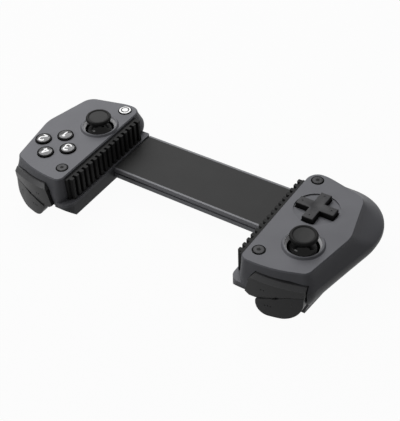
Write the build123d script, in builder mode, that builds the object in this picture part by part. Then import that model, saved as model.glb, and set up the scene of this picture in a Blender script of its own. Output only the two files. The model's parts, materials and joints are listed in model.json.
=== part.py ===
from build123d import *
import os
from math import hypot, radians, sin

os.makedirs("parts", exist_ok=True)

# Stretch controller for a phone. X runs from the d-pad half to the face-button half, Y towards the
# shoulder buttons and Z out of the faces. The origin is the middle of the deck that the phone lies on.
# Both halves are drawn on the +X side, and the d-pad half is the mirror image about X = 0.

# Driving sizes of the whole
bay_length = 130.0
face_width = 47.6
face_length = 88.5
face_setback = 22.2
face_height = 19.2
waist_depth = 12.5
body_depth = 35.0
wall = 2.2
face_wall = 2.0
edge_bevel = 0.7
overrun = 1.0
touch_gap = 0.1
seat_gap = 0.05
least_radius = 1.5

# Corners of the face plate and of the waist, the widest level, where the two shells part. Each row holds
# the shares of the face's width and length, and the corner's radius as a share of the width.
face_corner_shares = [
    (0.000, 0.000, 0.165),
    (0.252, 0.002, 0.590),
    (0.826, 0.079, 0.206),
    (1.000, 0.478, 0.378),
    (0.847, 0.918, 0.137),
    (0.420, 1.000, 1.470),
    (0.000, 1.000, 0.095),
]
waist_corner_shares = [
    (-0.004, -0.031, 0.189),
    (0.315, -0.110, 0.420),
    (1.180, -0.105, 0.672),
    (1.180, 0.319, 0.630),
    (0.914, 0.937, 0.168),
    (0.433, 1.020, 0.800),
    (-0.004, 1.020, 0.105),
]
sole_corner_shares = [
    (0.139, 0.115, 0.084),
    (0.399, 0.037, 0.168),
    (0.861, 0.037, 0.378),
    (0.861, 0.477, 0.504),
    (0.788, 0.929, 0.063),
    (0.433, 1.005, 0.630),
    (0.139, 1.005, 0.063),
]
# Levels of the swelling form: depth below the face, and the share of the way to the next row of corners
brow_depth, brow_share = 3.0, 0.12
cheek_depth, cheek_share = 6.0, 0.35
belly_depth, belly_share = 21.0, 0.18
heel_depth, heel_share = 30.0, 0.84

# Ledge under the phone's end, and the line where the shells part on the inner side
ledge_reach = 5.8
ledge_height = 1.2
ledge_depth = 10.5
ledge_rear = 21.0
ledge_front = 67.9
ledge_inboard = 20.0
ledge_corner = 6.0
ledge_bevel = 6.0
chin_drop = 4.2
deck_wall = 2.2
step_reach = 7.0

# Bridge between the halves
bridge_width = 41.0
bridge_depth = 7.3
bridge_end_gap = 0.3
bridge_wall = 2.4
bridge_floor = 1.3
bridge_block = 11.0
groove_depth = 1.0
groove_top, groove_bottom = 2.8, 4.3
skin_thickness = 1.6
skin_lip = 1.4
skin_step = 0.2
plate_thickness = 2.0
plate_width = 35.8
plate_top = 2.2
plate_overlap = 94.0
plate_tail = 9.0
glide_length = 38.0
glide_gap = 0.1
glide_width = 3.0

# Rubber phone pad with its ribs
pad_rear = 13.4
pad_front = 61.4
pad_top = 2.0
pad_base = 2.1
pad_sink = 1.2
rib_reach = 2.6
rib_count = 16
rib_pitch = 4.66
rib_width = 2.6
rib_edge = 0.4

# Stick, its ring and the module that it stands in
ring_hole_radius = 11.3
ring_bore = 9.6
ring_rise = 1.0
ring_bevel = 1.2
lip_radius = 12.84
lip_top_radius = 11.9
lip_height = 1.2
pivot_height = 10.2
dome_radius = 10.8
dome_wall = 0.9
dome_rim_height = 15.6
neck_radius = 4.6
neck_waist = 4.0
neck_top = 24.4
collar_drop = 1.6
collar_wall = 1.2
cap_radius = 8.1
cap_height = 3.0
cap_edge = 0.8
cap_relief = 1.4
cap_dish_radius = 30.0
cap_dish_depth = 0.7
shaft_radius = 1.5
shaft_gap = 0.1
shaft_foot = 5.2
module_width = 13.6
module_wall = 1.5
module_floor = 1.2
module_bottom = 2.2
module_top = 12.0
module_corner = 2.5
module_flange_width = 17.0
module_flange = 1.0
module_gap = 0.3
yoke_width = 9.8
yoke_bar = 1.2
yoke_height = 2.4
rocker_width = 6.0
rocker_length = 6.8
rocker_height = 3.2
gimbal_pin_radius = 0.8
pin_gap = 0.06

# Circuit board, the rubber contact sheet on it and the collars under the buttons
board_top = 10.0
board_thickness = 1.6
board_margin = 3.0
board_front_gap = 0.6
sheet_thickness = 0.8
sheet_border = 1.2
collar_height = 1.4
collar_radius = 4.3
collar_bore = 3.0
stem_radius = 2.5
stem_rise = 1.3
tongue_width = 3.6
tongue_thickness = 0.5
tongue_level = 13.2
tongue_room = 2.2
tongue_rear = 48.8
tongue_front = 57.4

# Face buttons, small buttons and the home button
button_radius = 5.25
button_hole_radius = 5.6
button_height = 1.0
button_crown = 0.7
small_radius = 3.8
small_hole_radius = 4.1
small_height = 0.4
small_crown = 0.15
home_radius = 4.45
home_hole_radius = 4.75
home_height = 0.5
home_crown = 0.3
flange_step = 0.6
small_flange_step = 0.6
flange_gap = 0.2
flange_height = 1.0
nested_floor = 2.6
nested_drop = 1.9
nested_stem_radius = 2.1
nested_stem_gap = 0.3
nested_stem_foot = 14.6

# D-pad
dish_radius = 14.0
dish_depth = 0.8
arm_reach = 12.4
arm_width = 7.0
arm_height = 2.7
arm_edge = 0.6
arm_gap = 0.6
hub_dish_radius = 16.0
hub_dish_depth = 0.5
dimple_radius = 0.55
dimple_depth = 0.3
dimple_reach = 9.5
dpad_flange_radius = 13.2
dpad_flange_low = 13.4
dpad_flange_thickness = 1.0
dpad_pivot_height = 14.6
ball_radius = 2.0
ball_gap = 0.05
post_radius = 2.8
nub_radius = 2.0
nub_foot = 11.6

# Controls on the face, as distances from the inner edge of the face and from the bridge's centre line
buttons_reach, buttons_ahead = 26.1, 37.8
button_spread = 10.2
right_stick_reach, right_stick_ahead = 13.3, 7.7
menu_reach, menu_ahead = 7.0, 54.8
home_reach, home_behind = 8.9, 14.9
left_stick_reach, left_stick_ahead = 26.5, 39.0
dpad_reach, dpad_ahead = 18.8, 8.3
upper_reach, upper_ahead = 6.9, 55.6
lower_reach, lower_behind = 6.9, 15.2

# Shoulder: the bay in the front wall, the bumper and the trigger
bulkhead_ahead = 56.2
bay_top_reach, bay_top_inner = 11.2, 14.1
bay_mid_share, bay_top_middle = 0.752, 13.3
bay_outer_reach, bay_top_outer = 41.2, 11.5
bay_knee_reach, bay_knee = 8.6, 10.2
bay_low_reach, bay_low = 5.6, -1.2
shoulder_gap = 0.4
shoulder_proud = 4.0
shoulder_thickness = 4.2
press_room = 2.2
lip_proud = 1.7
lip_drop = 2.4
lip_tilt = 4.6
notch_share, notch_half, notch_height = 0.619, 2.2, 0.8
trigger_proud_low = 5.6
trigger_low = 13.3
trigger_inner_share = 0.328
trigger_round_shares = [0.316, 0.446]
trigger_pin_ahead, trigger_pin_height = 59.0, -4.6
trigger_pin_radius = 1.0
pin_tail = 1.0
inner_arm_share, outer_arm_share = 0.4005, 0.7864
lug_gap = 0.35
lug_width = 2.0
arm_width_x = 2.2
hub_radius = 2.6
bumper_pin_reach, bumper_pin_ahead = 11.6, 59.2
bumper_pin_low, bumper_pin_high = 0.2, 16.0
bumper_hub_low, bumper_hub_high = 3.4, 10.6
bumper_lug_low, bumper_lug_high = -1.6, 3.2
bumper_arm_width = 4.0
spring_radius = 1.9
spring_wire = 0.4
spring_turns = 4
wire_sides = 4
spring_gap = 1.5

# Line where the bumper and the trigger part, as shares of the bay's outer reach
split_line_shares = [
    (0.1505, -0.0243),
    (0.2184, -0.0728),
    (0.3155, -0.0728),
    (0.4369, -0.0340),
    (0.6068, 0.0364),
    (0.7767, 0.0752),
    (1.0000, 0.0995),
]

# Case screws
screw_spots = [(38.0, 24.0), (35.0, -6.0), (10.0, 45.0), (19.0, -14.0)]
screw_radius = 1.0
screw_head_radius = 1.9
screw_head_height = 1.2
screw_drive_radius = 0.9
screw_drive_depth = 0.7
screw_bite = 3.0
screw_length = 15.0
boss_radius = 2.6
shoulder_radius = 3.6
shoulder_top = 12.5

# Bridge screws, pull-back springs and cable
bridge_screw_reach, bridge_screw_side = 1.8, 15.0
bridge_screw_bite = 3.0
bridge_head_sink = 1.0
plate_screw_side = 12.0
plate_screw_sink = 3.0
plate_screw_bite = 1.7
pull_side = 12.0
pull_radius = 1.3
pull_wire = 0.35
pull_pitch = 4.0
cable_width = 12.0
cable_thickness = 0.2
cable_tail = 14.0
cable_overlap = 56.0
cable_bend = 1.7

# Battery in the d-pad half
battery_reach, battery_ahead = 22.5, 16.0
battery_width, battery_length, battery_height = 19.0, 44.0, 7.0
battery_edge = 1.0

# Places worked out from the driving sizes
inner_edge = bay_length / 2
bay_mid_reach = bay_mid_share * bay_outer_reach
notch_reach = notch_share * bay_outer_reach
trigger_inner_reach = trigger_inner_share * bay_outer_reach
trigger_width = bay_outer_reach - 2 * shoulder_gap - trigger_inner_reach
trigger_arm_starts = [inner_arm_share * bay_outer_reach, outer_arm_share * bay_outer_reach]
trigger_lug_starts = [
    trigger_arm_starts[0] + arm_width_x + lug_gap,
    trigger_arm_starts[1] - lug_gap - lug_width,
]
trigger_pin_start = trigger_arm_starts[0] - pin_tail
trigger_pin_end = trigger_arm_starts[1] + arm_width_x + pin_tail
spring_start = trigger_lug_starts[0] + lug_width + spring_gap
spring_run = trigger_lug_starts[1] - spring_gap - spring_start
face_rear = -face_setback
waist_height = face_height - waist_depth
sole_height = face_height - body_depth
plate_underside = face_height - face_wall
ledge_edge_x = inner_edge - ledge_reach
ledge_bottom = ledge_height - ledge_depth
deck_part_height = ledge_height - deck_wall
step_x = inner_edge + step_reach
board_bottom = board_top - board_thickness
stem_foot = board_top + stem_rise
head_seat = waist_height + screw_bite - screw_length
bridge_start = -(inner_edge + step_reach)
bridge_end = ledge_edge_x - bridge_end_gap
block_end = bridge_start + bridge_block
plate_start = ledge_edge_x - plate_overlap
plate_end = inner_edge + plate_tail
plate_low = -(plate_top + plate_thickness)
channel_floor = bridge_floor - bridge_depth
channel_half = bridge_width / 2 - bridge_wall
ledge_bottom_to_block = -bridge_depth + bridge_screw_bite - ledge_bottom - bridge_head_sink
all_round = 2 * (bay_length + face_length)
STAND = (Align.CENTER, Align.CENTER, Align.MIN)
HANG = (Align.CENTER, Align.CENTER, Align.MAX)
ALONG = (Align.MIN, Align.CENTER, Align.CENTER)


def corner_points(share_rows):
    """Corners of one level, as x, y and radius, going round from the inner rear corner."""
    return [
        (inner_edge + a * face_width, face_rear + b * face_length, c * face_width)
        for a, b, c in share_rows
    ]


def blended(rows, others, share):
    """Corners part of the way from one level's corners to another's."""
    return [
        tuple(p + share * (q - p) for p, q in zip(one, two)) for one, two in zip(rows, others)
    ]


def drawn_in(corners, distance):
    """The same outline with each side moved inwards by a distance, or outwards by a negative one."""
    count = len(corners)
    sides = []
    for i, (ax, ay, _) in enumerate(corners):
        bx, by, _ = corners[(i + 1) % count]
        length = hypot(bx - ax, by - ay)
        dx, dy = (bx - ax) / length, (by - ay) / length
        sides.append((ax - dy * distance, ay + dx * distance, dx, dy))
    moved = []
    for i, (_, _, radius) in enumerate(corners):
        (px, py, pdx, pdy), (qx, qy, qdx, qdy) = sides[i - 1], sides[i]
        along = ((qx - px) * qdy - (qy - py) * qdx) / (pdx * qdy - pdy * qdx)
        moved.append((px + along * pdx, py + along * pdy, max(radius - distance, least_radius)))
    return moved


def outline(height, corners):
    """Sketch of a rounded outline at a height."""
    with BuildSketch(Plane.XY.offset(height)) as level:
        with BuildLine():
            FilletPolyline(
                *[(x, y) for x, y, _ in corners], radius=[r for _, _, r in corners], close=True
            )
        make_face()
    return level.sketch


face_corners = corner_points(face_corner_shares)
waist_corners = corner_points(waist_corner_shares)
sole_corners = corner_points(sole_corner_shares)


def upper_level(depth, share, inset):
    """Level of the front shell's wall, between the face and the waist."""
    return outline(face_height - depth, drawn_in(blended(face_corners, waist_corners, share), inset))


def lower_level(depth, share, inset):
    """Level of the grip, between the waist and the sole."""
    return outline(face_height - depth, drawn_in(blended(waist_corners, sole_corners, share), inset))


def proud_outline(height, proud):
    """The face's outline at a height, standing proud of it all round."""
    return outline(height, drawn_in(face_corners, -proud))


def half_form(inset):
    """The swelling form of one half. With an inset it is the hollow inside the walls."""
    with BuildPart() as form:
        loft([upper_level(0, 0, edge_bevel + inset), upper_level(edge_bevel, 0, inset)], ruled=True)
        loft(
            [
                upper_level(edge_bevel, 0, inset),
                upper_level(brow_depth, brow_share, inset),
                upper_level(cheek_depth, cheek_share, inset),
                upper_level(waist_depth, 1, inset),
            ]
        )
        loft(
            [
                lower_level(waist_depth, 0, inset),
                lower_level(belly_depth, belly_share, inset),
                lower_level(heel_depth, heel_share, inset),
                lower_level(body_depth, 1, inset),
            ]
        )
    return form.part


def ledge_form():
    """The ledge that the phone's end lies on."""
    with BuildPart() as ledge:
        with BuildSketch(Plane.XY.offset(ledge_bottom)):
            with BuildLine():
                FilletPolyline(
                    (ledge_edge_x, -ledge_rear),
                    (ledge_edge_x + ledge_inboard, -ledge_rear),
                    (ledge_edge_x + ledge_inboard, ledge_front),
                    (ledge_edge_x, ledge_front),
                    radius=[least_radius, least_radius, least_radius, ledge_corner],
                    close=True,
                )
            make_face()
        extrude(amount=ledge_depth)
    return ledge.part


def hollow_form():
    """The room inside a half: the inset form between the face plate and the floor, up to the bulkhead."""
    with BuildPart() as room:
        add(half_form(wall))
        with BuildSketch(Plane.XY.offset(sole_height + wall)):
            with Locations((inner_edge, (bulkhead_ahead - wall - all_round) / 2)):
                Rectangle(2 * all_round, bulkhead_ahead - wall + all_round)
        extrude(amount=plate_underside - sole_height - wall, mode=Mode.INTERSECT)
    return room.part


def rear_zone():
    """Everything that belongs to the rear shell: below the waist outboard, below the deck plate inboard."""
    with BuildPart() as zone:
        with BuildSketch(Plane.XZ):
            with BuildLine():
                Polyline(
                    (0, deck_part_height),
                    (step_x, deck_part_height),
                    (step_x, waist_height),
                    (all_round, waist_height),
                    (all_round, sole_height - overrun),
                    (0, sole_height - overrun),
                    close=True,
                )
            make_face()
        extrude(amount=all_round, both=True)
    return zone.part


def shoulder_bay():
    """The bay in the front wall that holds the bumper and the trigger, open below."""
    with BuildPart() as bay:
        with BuildSketch(Plane.XZ.offset(-bulkhead_ahead)):
            with BuildLine():
                Polyline(
                    (inner_edge + bay_top_reach, bay_top_inner),
                    (inner_edge + bay_mid_reach, bay_top_middle),
                    (inner_edge + bay_outer_reach, bay_top_outer),
                    (inner_edge + bay_outer_reach, sole_height - overrun),
                    (inner_edge + bay_low_reach, sole_height - overrun),
                    (inner_edge + bay_low_reach, bay_low),
                    (inner_edge + bay_knee_reach, bay_knee),
                    close=True,
                )
            make_face()
        extrude(amount=-all_round)
    return bay.part


def chin_cut():
    """Wedge below the ledge's front end, where the rear shell slopes up to the ledge."""
    drop = ledge_depth + ledge_bevel
    with BuildPart() as cut:
        with BuildSketch(Plane.YZ.offset(ledge_edge_x - overrun)):
            with BuildLine():
                Polyline(
                    (ledge_front + overrun, chin_height + overrun),
                    (ledge_front - drop, chin_height - drop),
                    (ledge_front + overrun, chin_height - drop),
                    close=True,
                )
            make_face()
        extrude(amount=inner_edge + trigger_inner_reach - ledge_edge_x)
    return cut.part


def face_spot(reach, ahead):
    """A place on the face from its distance to the inner edge and to the bridge's centre line."""
    return (inner_edge + reach, ahead)


chin_height = ledge_height - chin_drop
right_stick = face_spot(right_stick_reach, right_stick_ahead)
left_stick = face_spot(left_stick_reach, left_stick_ahead)
menu_spot = face_spot(menu_reach, menu_ahead)
home_spot = face_spot(home_reach, -home_behind)
upper_spot = face_spot(upper_reach, upper_ahead)
lower_spot = face_spot(lower_reach, -lower_behind)
dpad_spot = face_spot(dpad_reach, dpad_ahead)
bumper_pin_spot = face_spot(bumper_pin_reach, bumper_pin_ahead)
button_spots = {
    "button_right": face_spot(buttons_reach + button_spread, buttons_ahead),
    "button_left": face_spot(buttons_reach - button_spread, buttons_ahead),
    "button_top": face_spot(buttons_reach, buttons_ahead + button_spread),
    "button_bottom": face_spot(buttons_reach, buttons_ahead - button_spread),
}
screw_places = [face_spot(reach, ahead) for reach, ahead in screw_spots]
face_holes = [(spot, button_hole_radius) for spot in button_spots.values()]
right_holes = face_holes + [(home_spot, home_hole_radius)]
left_holes = [(lower_spot, small_hole_radius)]
arm_spots = [(dimple_reach, 0), (-dimple_reach, 0), (0, dimple_reach), (0, -dimple_reach)]
nub_spots = [(dpad_spot[0] + dx, dpad_spot[1] + dy) for dx, dy in arm_spots]

outer_form = half_form(0)
room_form = hollow_form()
ledge_block = ledge_form()
shoulder_room = shoulder_bay()
rear_region = rear_zone()
chin_wedge = chin_cut()


def hand_in(name, built, mirrored=False):
    """Labels a finished piece and writes it, mirrored for the d-pad half."""
    with BuildPart() as piece:
        if mirrored:
            mirror(built, about=Plane.YZ)
        else:
            add(built)
    piece.part.label = name
    export_step(piece.part, f"parts/{name}.step")


def front_shell(stick, holes, nested_spot, with_dpad):
    """Front shell: face plate, walls down to the waist, inner wall with the pad's seat, and deck plate."""
    with BuildPart() as shell:
        add(outer_form)
        add(ledge_block)
        add(room_form, mode=Mode.SUBTRACT)
        add(rear_region, mode=Mode.SUBTRACT)
        add(shoulder_room, mode=Mode.SUBTRACT)
        # raised lip round the stick, and its hole
        with BuildSketch(Plane.XY.offset(face_height - edge_bevel)) as lip_root:
            with Locations(stick):
                Circle(lip_radius)
        with BuildSketch(Plane.XY.offset(face_height)) as lip_base:
            with Locations(stick):
                Circle(lip_radius)
        with BuildSketch(Plane.XY.offset(face_height + lip_height)) as lip_rim:
            with Locations(stick):
                Circle(lip_top_radius)
        loft([lip_root.sketch, lip_base.sketch], ruled=True)
        loft([lip_base.sketch, lip_rim.sketch])
        with Locations((*stick, plate_underside - overrun)):
            Cylinder(ring_hole_radius, face_wall + lip_height + 2 * overrun, align=STAND, mode=Mode.SUBTRACT)
        for spot, radius in holes:
            with Locations((*spot, plate_underside - overrun)):
                Cylinder(radius, face_wall + 2 * overrun, align=STAND, mode=Mode.SUBTRACT)
        # nested small button over the bulkhead, and the slot that the contact tongue lies in
        with Locations((*nested_spot, face_height - nested_floor)):
            Cylinder(small_hole_radius, nested_floor + overrun, align=STAND, mode=Mode.SUBTRACT)
        with Locations((*nested_spot, tongue_level)):
            Cylinder(nested_stem_radius + nested_stem_gap, face_height, align=STAND, mode=Mode.SUBTRACT)
        with Locations((nested_spot[0], bulkhead_ahead - wall - overrun, tongue_level)):
            Box(
                tongue_width + 2 * touch_gap,
                tongue_front + touch_gap + overrun - bulkhead_ahead + wall,
                tongue_room,
                align=(Align.CENTER, Align.MIN, Align.MIN),
                mode=Mode.SUBTRACT,
            )
        if with_dpad:
            with Locations((*dpad_spot, face_height - dish_depth)):
                Cylinder(dish_radius, dish_depth + overrun, align=STAND, mode=Mode.SUBTRACT)
            with BuildSketch(Plane.XY.offset(plate_underside - overrun)) as cross:
                with Locations(dpad_spot):
                    Rectangle(2 * (arm_reach + arm_gap), arm_width + 2 * arm_gap)
                    Rectangle(arm_width + 2 * arm_gap, 2 * (arm_reach + arm_gap))
            extrude(cross.sketch, amount=face_wall + 2 * overrun, mode=Mode.SUBTRACT)
            with Locations((inner_edge - ledge_reach - overrun, 0, seat_gap)):
                Box(
                    ledge_reach + step_reach + overrun + touch_gap,
                    bridge_width + 2 * seat_gap,
                    bridge_depth + 2 * seat_gap,
                    align=(Align.MIN, Align.CENTER, Align.MAX),
                    mode=Mode.SUBTRACT,
                )
        # seat of the rubber pad in the inner wall
        with Locations((inner_edge + pad_sink + seat_gap, (pad_front - pad_rear) / 2, ledge_height)):
            Box(
                2 * pad_sink,
                pad_front + pad_rear + 2 * seat_gap,
                face_height - pad_top - ledge_height + seat_gap,
                align=(Align.MAX, Align.CENTER, Align.MIN),
                mode=Mode.SUBTRACT,
            )
        # bosses that the case screws bite into, with shoulders that hold the board down
        for spot in screw_places:
            with Locations((*spot, waist_height)):
                Cylinder(boss_radius, plate_underside - waist_height + overrun, align=STAND)
            with Locations((*spot, board_top)):
                Cylinder(shoulder_radius, shoulder_top - board_top, align=STAND)
        for spot in screw_places:
            with Locations((*spot, waist_height)):
                Cylinder(screw_radius, screw_bite + overrun, align=STAND, mode=Mode.SUBTRACT)
        # bore that holds the top of the bumper's pin
        with Locations((*bumper_pin_spot, bay_low)):
            Cylinder(trigger_pin_radius, bumper_pin_high - bay_low, align=STAND, mode=Mode.SUBTRACT)
    return shell.part


def rear_shell(slot_for_channel):
    """Rear shell: the grip, the ledge's lower part, the screw posts and the lugs of the shoulder."""
    with BuildPart() as posts:
        for spot in screw_places:
            with Locations((*spot, sole_height)):
                Cylinder(boss_radius, waist_height - sole_height, align=STAND)
        add(outer_form, mode=Mode.INTERSECT)
    with BuildPart() as shell:
        add(outer_form)
        add(ledge_block)
        add(room_form, mode=Mode.SUBTRACT)
        add(rear_region, mode=Mode.INTERSECT)
        add(shoulder_room, mode=Mode.SUBTRACT)
        add(chin_wedge, mode=Mode.SUBTRACT)
        add(posts.part)
        # lugs on the bulkhead for the trigger's pin
        for start in trigger_lug_starts:
            with BuildSketch(Plane.YZ.offset(inner_edge + start)) as lug:
                with Locations((trigger_pin_ahead, trigger_pin_height)):
                    Circle(hub_radius)
                with Locations((bulkhead_ahead - wall / 2, trigger_pin_height)):
                    Rectangle(
                        trigger_pin_ahead - bulkhead_ahead + wall / 2,
                        2 * hub_radius,
                        align=(Align.MIN, Align.CENTER),
                    )
                with Locations((trigger_pin_ahead, trigger_pin_height)):
                    Circle(trigger_pin_radius, mode=Mode.SUBTRACT)
            extrude(lug.sketch, amount=lug_width)
        # lug for the foot of the bumper's pin
        with BuildSketch(Plane.XY.offset(bumper_lug_low)) as foot:
            with Locations(bumper_pin_spot):
                Circle(hub_radius)
            with Locations((bumper_pin_spot[0], bulkhead_ahead - wall / 2)):
                Rectangle(
                    2 * hub_radius,
                    bumper_pin_ahead - bulkhead_ahead + wall / 2,
                    align=(Align.CENTER, Align.MIN),
                )
        extrude(foot.sketch, amount=bumper_lug_high - bumper_lug_low)
        with Locations((*bumper_pin_spot, bumper_pin_low)):
            Cylinder(trigger_pin_radius, face_height, align=STAND, mode=Mode.SUBTRACT)
        for spot in screw_places:
            with Locations((*spot, waist_height)):
                Cylinder(screw_radius + touch_gap, screw_length, align=HANG, mode=Mode.SUBTRACT)
            with Locations((*spot, head_seat)):
                Cylinder(screw_head_radius + touch_gap, screw_length, align=HANG, mode=Mode.SUBTRACT)
        screw_x = ledge_edge_x + bridge_screw_reach + screw_head_radius
        if slot_for_channel:
            with Locations((ledge_edge_x - overrun, 0, seat_gap)):
                Box(
                    ledge_reach + step_reach + overrun + touch_gap,
                    bridge_width + 2 * seat_gap,
                    bridge_depth + 2 * seat_gap,
                    align=(Align.MIN, Align.CENTER, Align.MAX),
                    mode=Mode.SUBTRACT,
                )
            for side in (bridge_screw_side, -bridge_screw_side):
                with Locations((screw_x, side, ledge_bottom)):
                    Cylinder(screw_radius + touch_gap, ledge_depth, mode=Mode.SUBTRACT)
                    Cylinder(
                        screw_head_radius + touch_gap,
                        2 * bridge_head_sink,
                        mode=Mode.SUBTRACT,
                    )
        else:
            with Locations((ledge_edge_x - overrun, 0, plate_low - seat_gap)):
                Box(
                    ledge_reach + step_reach + overrun,
                    plate_width + 2 * seat_gap,
                    plate_thickness + 2 * seat_gap,
                    align=(Align.MIN, Align.CENTER, Align.MIN),
                    mode=Mode.SUBTRACT,
                )
                Box(
                    ledge_reach + step_reach + overrun,
                    cable_width + 4 * seat_gap,
                    plate_thickness + 2 * cable_thickness + 2 * seat_gap,
                    align=(Align.MIN, Align.CENTER, Align.MIN),
                    mode=Mode.SUBTRACT,
                )
            for side in (plate_screw_side, -plate_screw_side):
                with Locations((screw_x, side, ledge_bottom)):
                    Cylinder(screw_radius + touch_gap, ledge_depth, mode=Mode.SUBTRACT)
                    Cylinder(screw_head_radius + touch_gap, 2 * plate_screw_sink, mode=Mode.SUBTRACT)
    return shell.part


def screw_stand(spots, head_low, head_height, length):
    """Screws standing on their heads: the head's underside, its height and the shank's length."""
    with BuildPart() as screws:
        for spot in spots:
            with Locations((*spot, head_low)):
                Cylinder(screw_head_radius, head_height, align=STAND)
                Cylinder(screw_radius - seat_gap, head_height + length, align=STAND)
                Cylinder(screw_drive_radius, screw_drive_depth, align=STAND, mode=Mode.SUBTRACT)
    return screws.part


def phone_pad():
    """Rubber strip with its upright ribs, set into the inner wall."""
    low = ledge_height + seat_gap
    height = face_height - pad_top - low
    with BuildPart() as pad:
        with Locations((inner_edge + pad_sink, (pad_front - pad_rear) / 2, low)):
            Box(
                pad_base + pad_sink,
                pad_front + pad_rear,
                height,
                align=(Align.MAX, Align.CENTER, Align.MIN),
            )
        for i in range(rib_count):
            middle = -pad_rear + (rib_pitch - rib_width) / 4 + rib_width / 2 + i * rib_pitch
            with BuildSketch(Plane.XY.offset(low)) as rib:
                with Locations((inner_edge - pad_base + rib_edge, middle)):
                    Rectangle(rib_reach + rib_edge, rib_width, align=(Align.MAX, Align.CENTER))
                chamfer(rib.vertices().group_by(Axis.X)[0], length=rib_edge)
            extrude(rib.sketch, amount=height)
    return pad.part


def board(stick):
    """Circuit board, cut out for the stick's module and for the bosses."""
    with BuildPart() as plate:
        extrude(outline(board_bottom, drawn_in(face_corners, board_margin)), amount=board_thickness)
        with Locations((inner_edge, bulkhead_ahead - wall - board_front_gap, board_bottom)):
            Box(
                all_round,
                all_round,
                board_thickness,
                align=(Align.CENTER, Align.MAX, Align.MIN),
                mode=Mode.INTERSECT,
            )
        with Locations((*stick, board_bottom)):
            Box(
                module_width + 2 * module_gap,
                module_width + 2 * module_gap,
                board_thickness,
                align=STAND,
                mode=Mode.SUBTRACT,
            )
        for spot in screw_places:
            with Locations((*spot, board_bottom)):
                Cylinder(boss_radius + touch_gap, board_thickness, align=STAND, mode=Mode.SUBTRACT)
    return plate.part


def contact_sheet(groups, post_holes, nested_spot):
    """Rubber sheets on the board with a collar under each button, and the tongue under the nested one."""
    with BuildPart() as sheet:
        for group in groups:
            with BuildSketch(Plane.XY.offset(board_top)) as pads:
                with Locations(*group):
                    Circle(collar_radius + sheet_border)
                make_hull()
            extrude(pads.sketch, amount=sheet_thickness)
        extrude(
            outline(board_top, drawn_in(face_corners, board_margin)),
            amount=sheet_thickness,
            mode=Mode.INTERSECT,
        )
        for spot in post_holes:
            with Locations((*spot, board_top)):
                Cylinder(post_radius + touch_gap, sheet_thickness, align=STAND, mode=Mode.SUBTRACT)
        for group in groups:
            for spot in group:
                with Locations((*spot, board_top)):
                    Cylinder(collar_radius, collar_height, align=STAND)
                    Cylinder(collar_bore, collar_height, align=STAND, mode=Mode.SUBTRACT)
        with BuildSketch(Plane.YZ.offset(nested_spot[0] - tongue_width / 2)) as tongue:
            with BuildLine():
                Polyline(
                    (tongue_rear, board_top),
                    (tongue_rear, tongue_level + seat_gap + tongue_thickness),
                    (tongue_front, tongue_level + seat_gap + tongue_thickness),
                    (tongue_front, tongue_level + seat_gap),
                    (tongue_rear + tongue_thickness, tongue_level + seat_gap),
                    (tongue_rear + tongue_thickness, board_top),
                    close=True,
                )
            make_face()
        extrude(tongue.sketch, amount=tongue_width)
    return sheet.part


def capped_disc(spot, low, edge_height, radius, crown):
    """Disc with a domed top."""
    ball = (radius**2 + crown**2) / (2 * crown)
    with BuildPart() as disc:
        with Locations((*spot, low)):
            Cylinder(radius, edge_height + crown - low, align=STAND)
        with Locations((*spot, edge_height + crown - ball)):
            Sphere(ball, mode=Mode.INTERSECT)
    return disc.part


def push_button(spot, radius, height, crown, step):
    """Button with a flange under the face plate and a stem down to its collar."""
    flange_top = plate_underside - flange_gap
    with BuildPart() as button:
        add(capped_disc(spot, flange_top - flange_height, face_height + height, radius, crown))
        with Locations((*spot, flange_top - flange_height)):
            Cylinder(radius + step, flange_height, align=STAND)
        with Locations((*spot, stem_foot)):
            Cylinder(stem_radius, flange_top - stem_foot, align=STAND)
    return button.part


def nested_button(spot):
    """Small button that sits in its own well over the bulkhead."""
    low = face_height - nested_drop
    with BuildPart() as button:
        add(capped_disc(spot, low, face_height + small_height, small_radius, small_crown))
        with Locations((*spot, nested_stem_foot)):
            Cylinder(nested_stem_radius, low - nested_stem_foot + seat_gap, align=STAND)
    return button.part


def stick_base(place):
    """Open-topped module body with a flange below the board and bores for the yoke's pins."""
    with BuildPart() as base:
        with BuildSketch(Plane.XY.offset(module_bottom)) as body:
            with Locations(place):
                RectangleRounded(module_width, module_width, module_corner)
        extrude(body.sketch, amount=module_top - module_bottom)
        with Locations((*place, board_bottom)):
            Box(module_flange_width, module_flange_width, module_flange, align=HANG)
        with Locations((*place, module_bottom + module_floor)):
            Box(
                module_width - 2 * module_wall,
                module_width - 2 * module_wall,
                module_top,
                align=STAND,
                mode=Mode.SUBTRACT,
            )
        with Locations((*place, pivot_height)):
            Cylinder(
                gimbal_pin_radius + pin_gap,
                module_width + overrun,
                rotation=(0, 90, 0),
                mode=Mode.SUBTRACT,
            )
    return base.part


def stick_yoke(place):
    """Square ring that turns about X in the module, with bores along Y for the rocker."""
    with BuildPart() as yoke:
        with Locations((*place, pivot_height)):
            Box(yoke_width, yoke_width, yoke_height)
            Cylinder(gimbal_pin_radius, module_width, rotation=(0, 90, 0))
            Box(yoke_width - 2 * yoke_bar, yoke_width - 2 * yoke_bar, yoke_height, mode=Mode.SUBTRACT)
            Cylinder(gimbal_pin_radius + pin_gap, yoke_width, rotation=(90, 0, 0), mode=Mode.SUBTRACT)
    return yoke.part


def stick_rocker(place):
    """Block that turns about Y in the yoke and guides the shaft."""
    with BuildPart() as rocker:
        with Locations((*place, pivot_height)):
            Box(rocker_width, rocker_length, rocker_height)
            Cylinder(gimbal_pin_radius, yoke_width - yoke_bar / 2, rotation=(90, 0, 0))
            Cylinder(shaft_radius + shaft_gap, rocker_height, mode=Mode.SUBTRACT)
    return rocker.part


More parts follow.
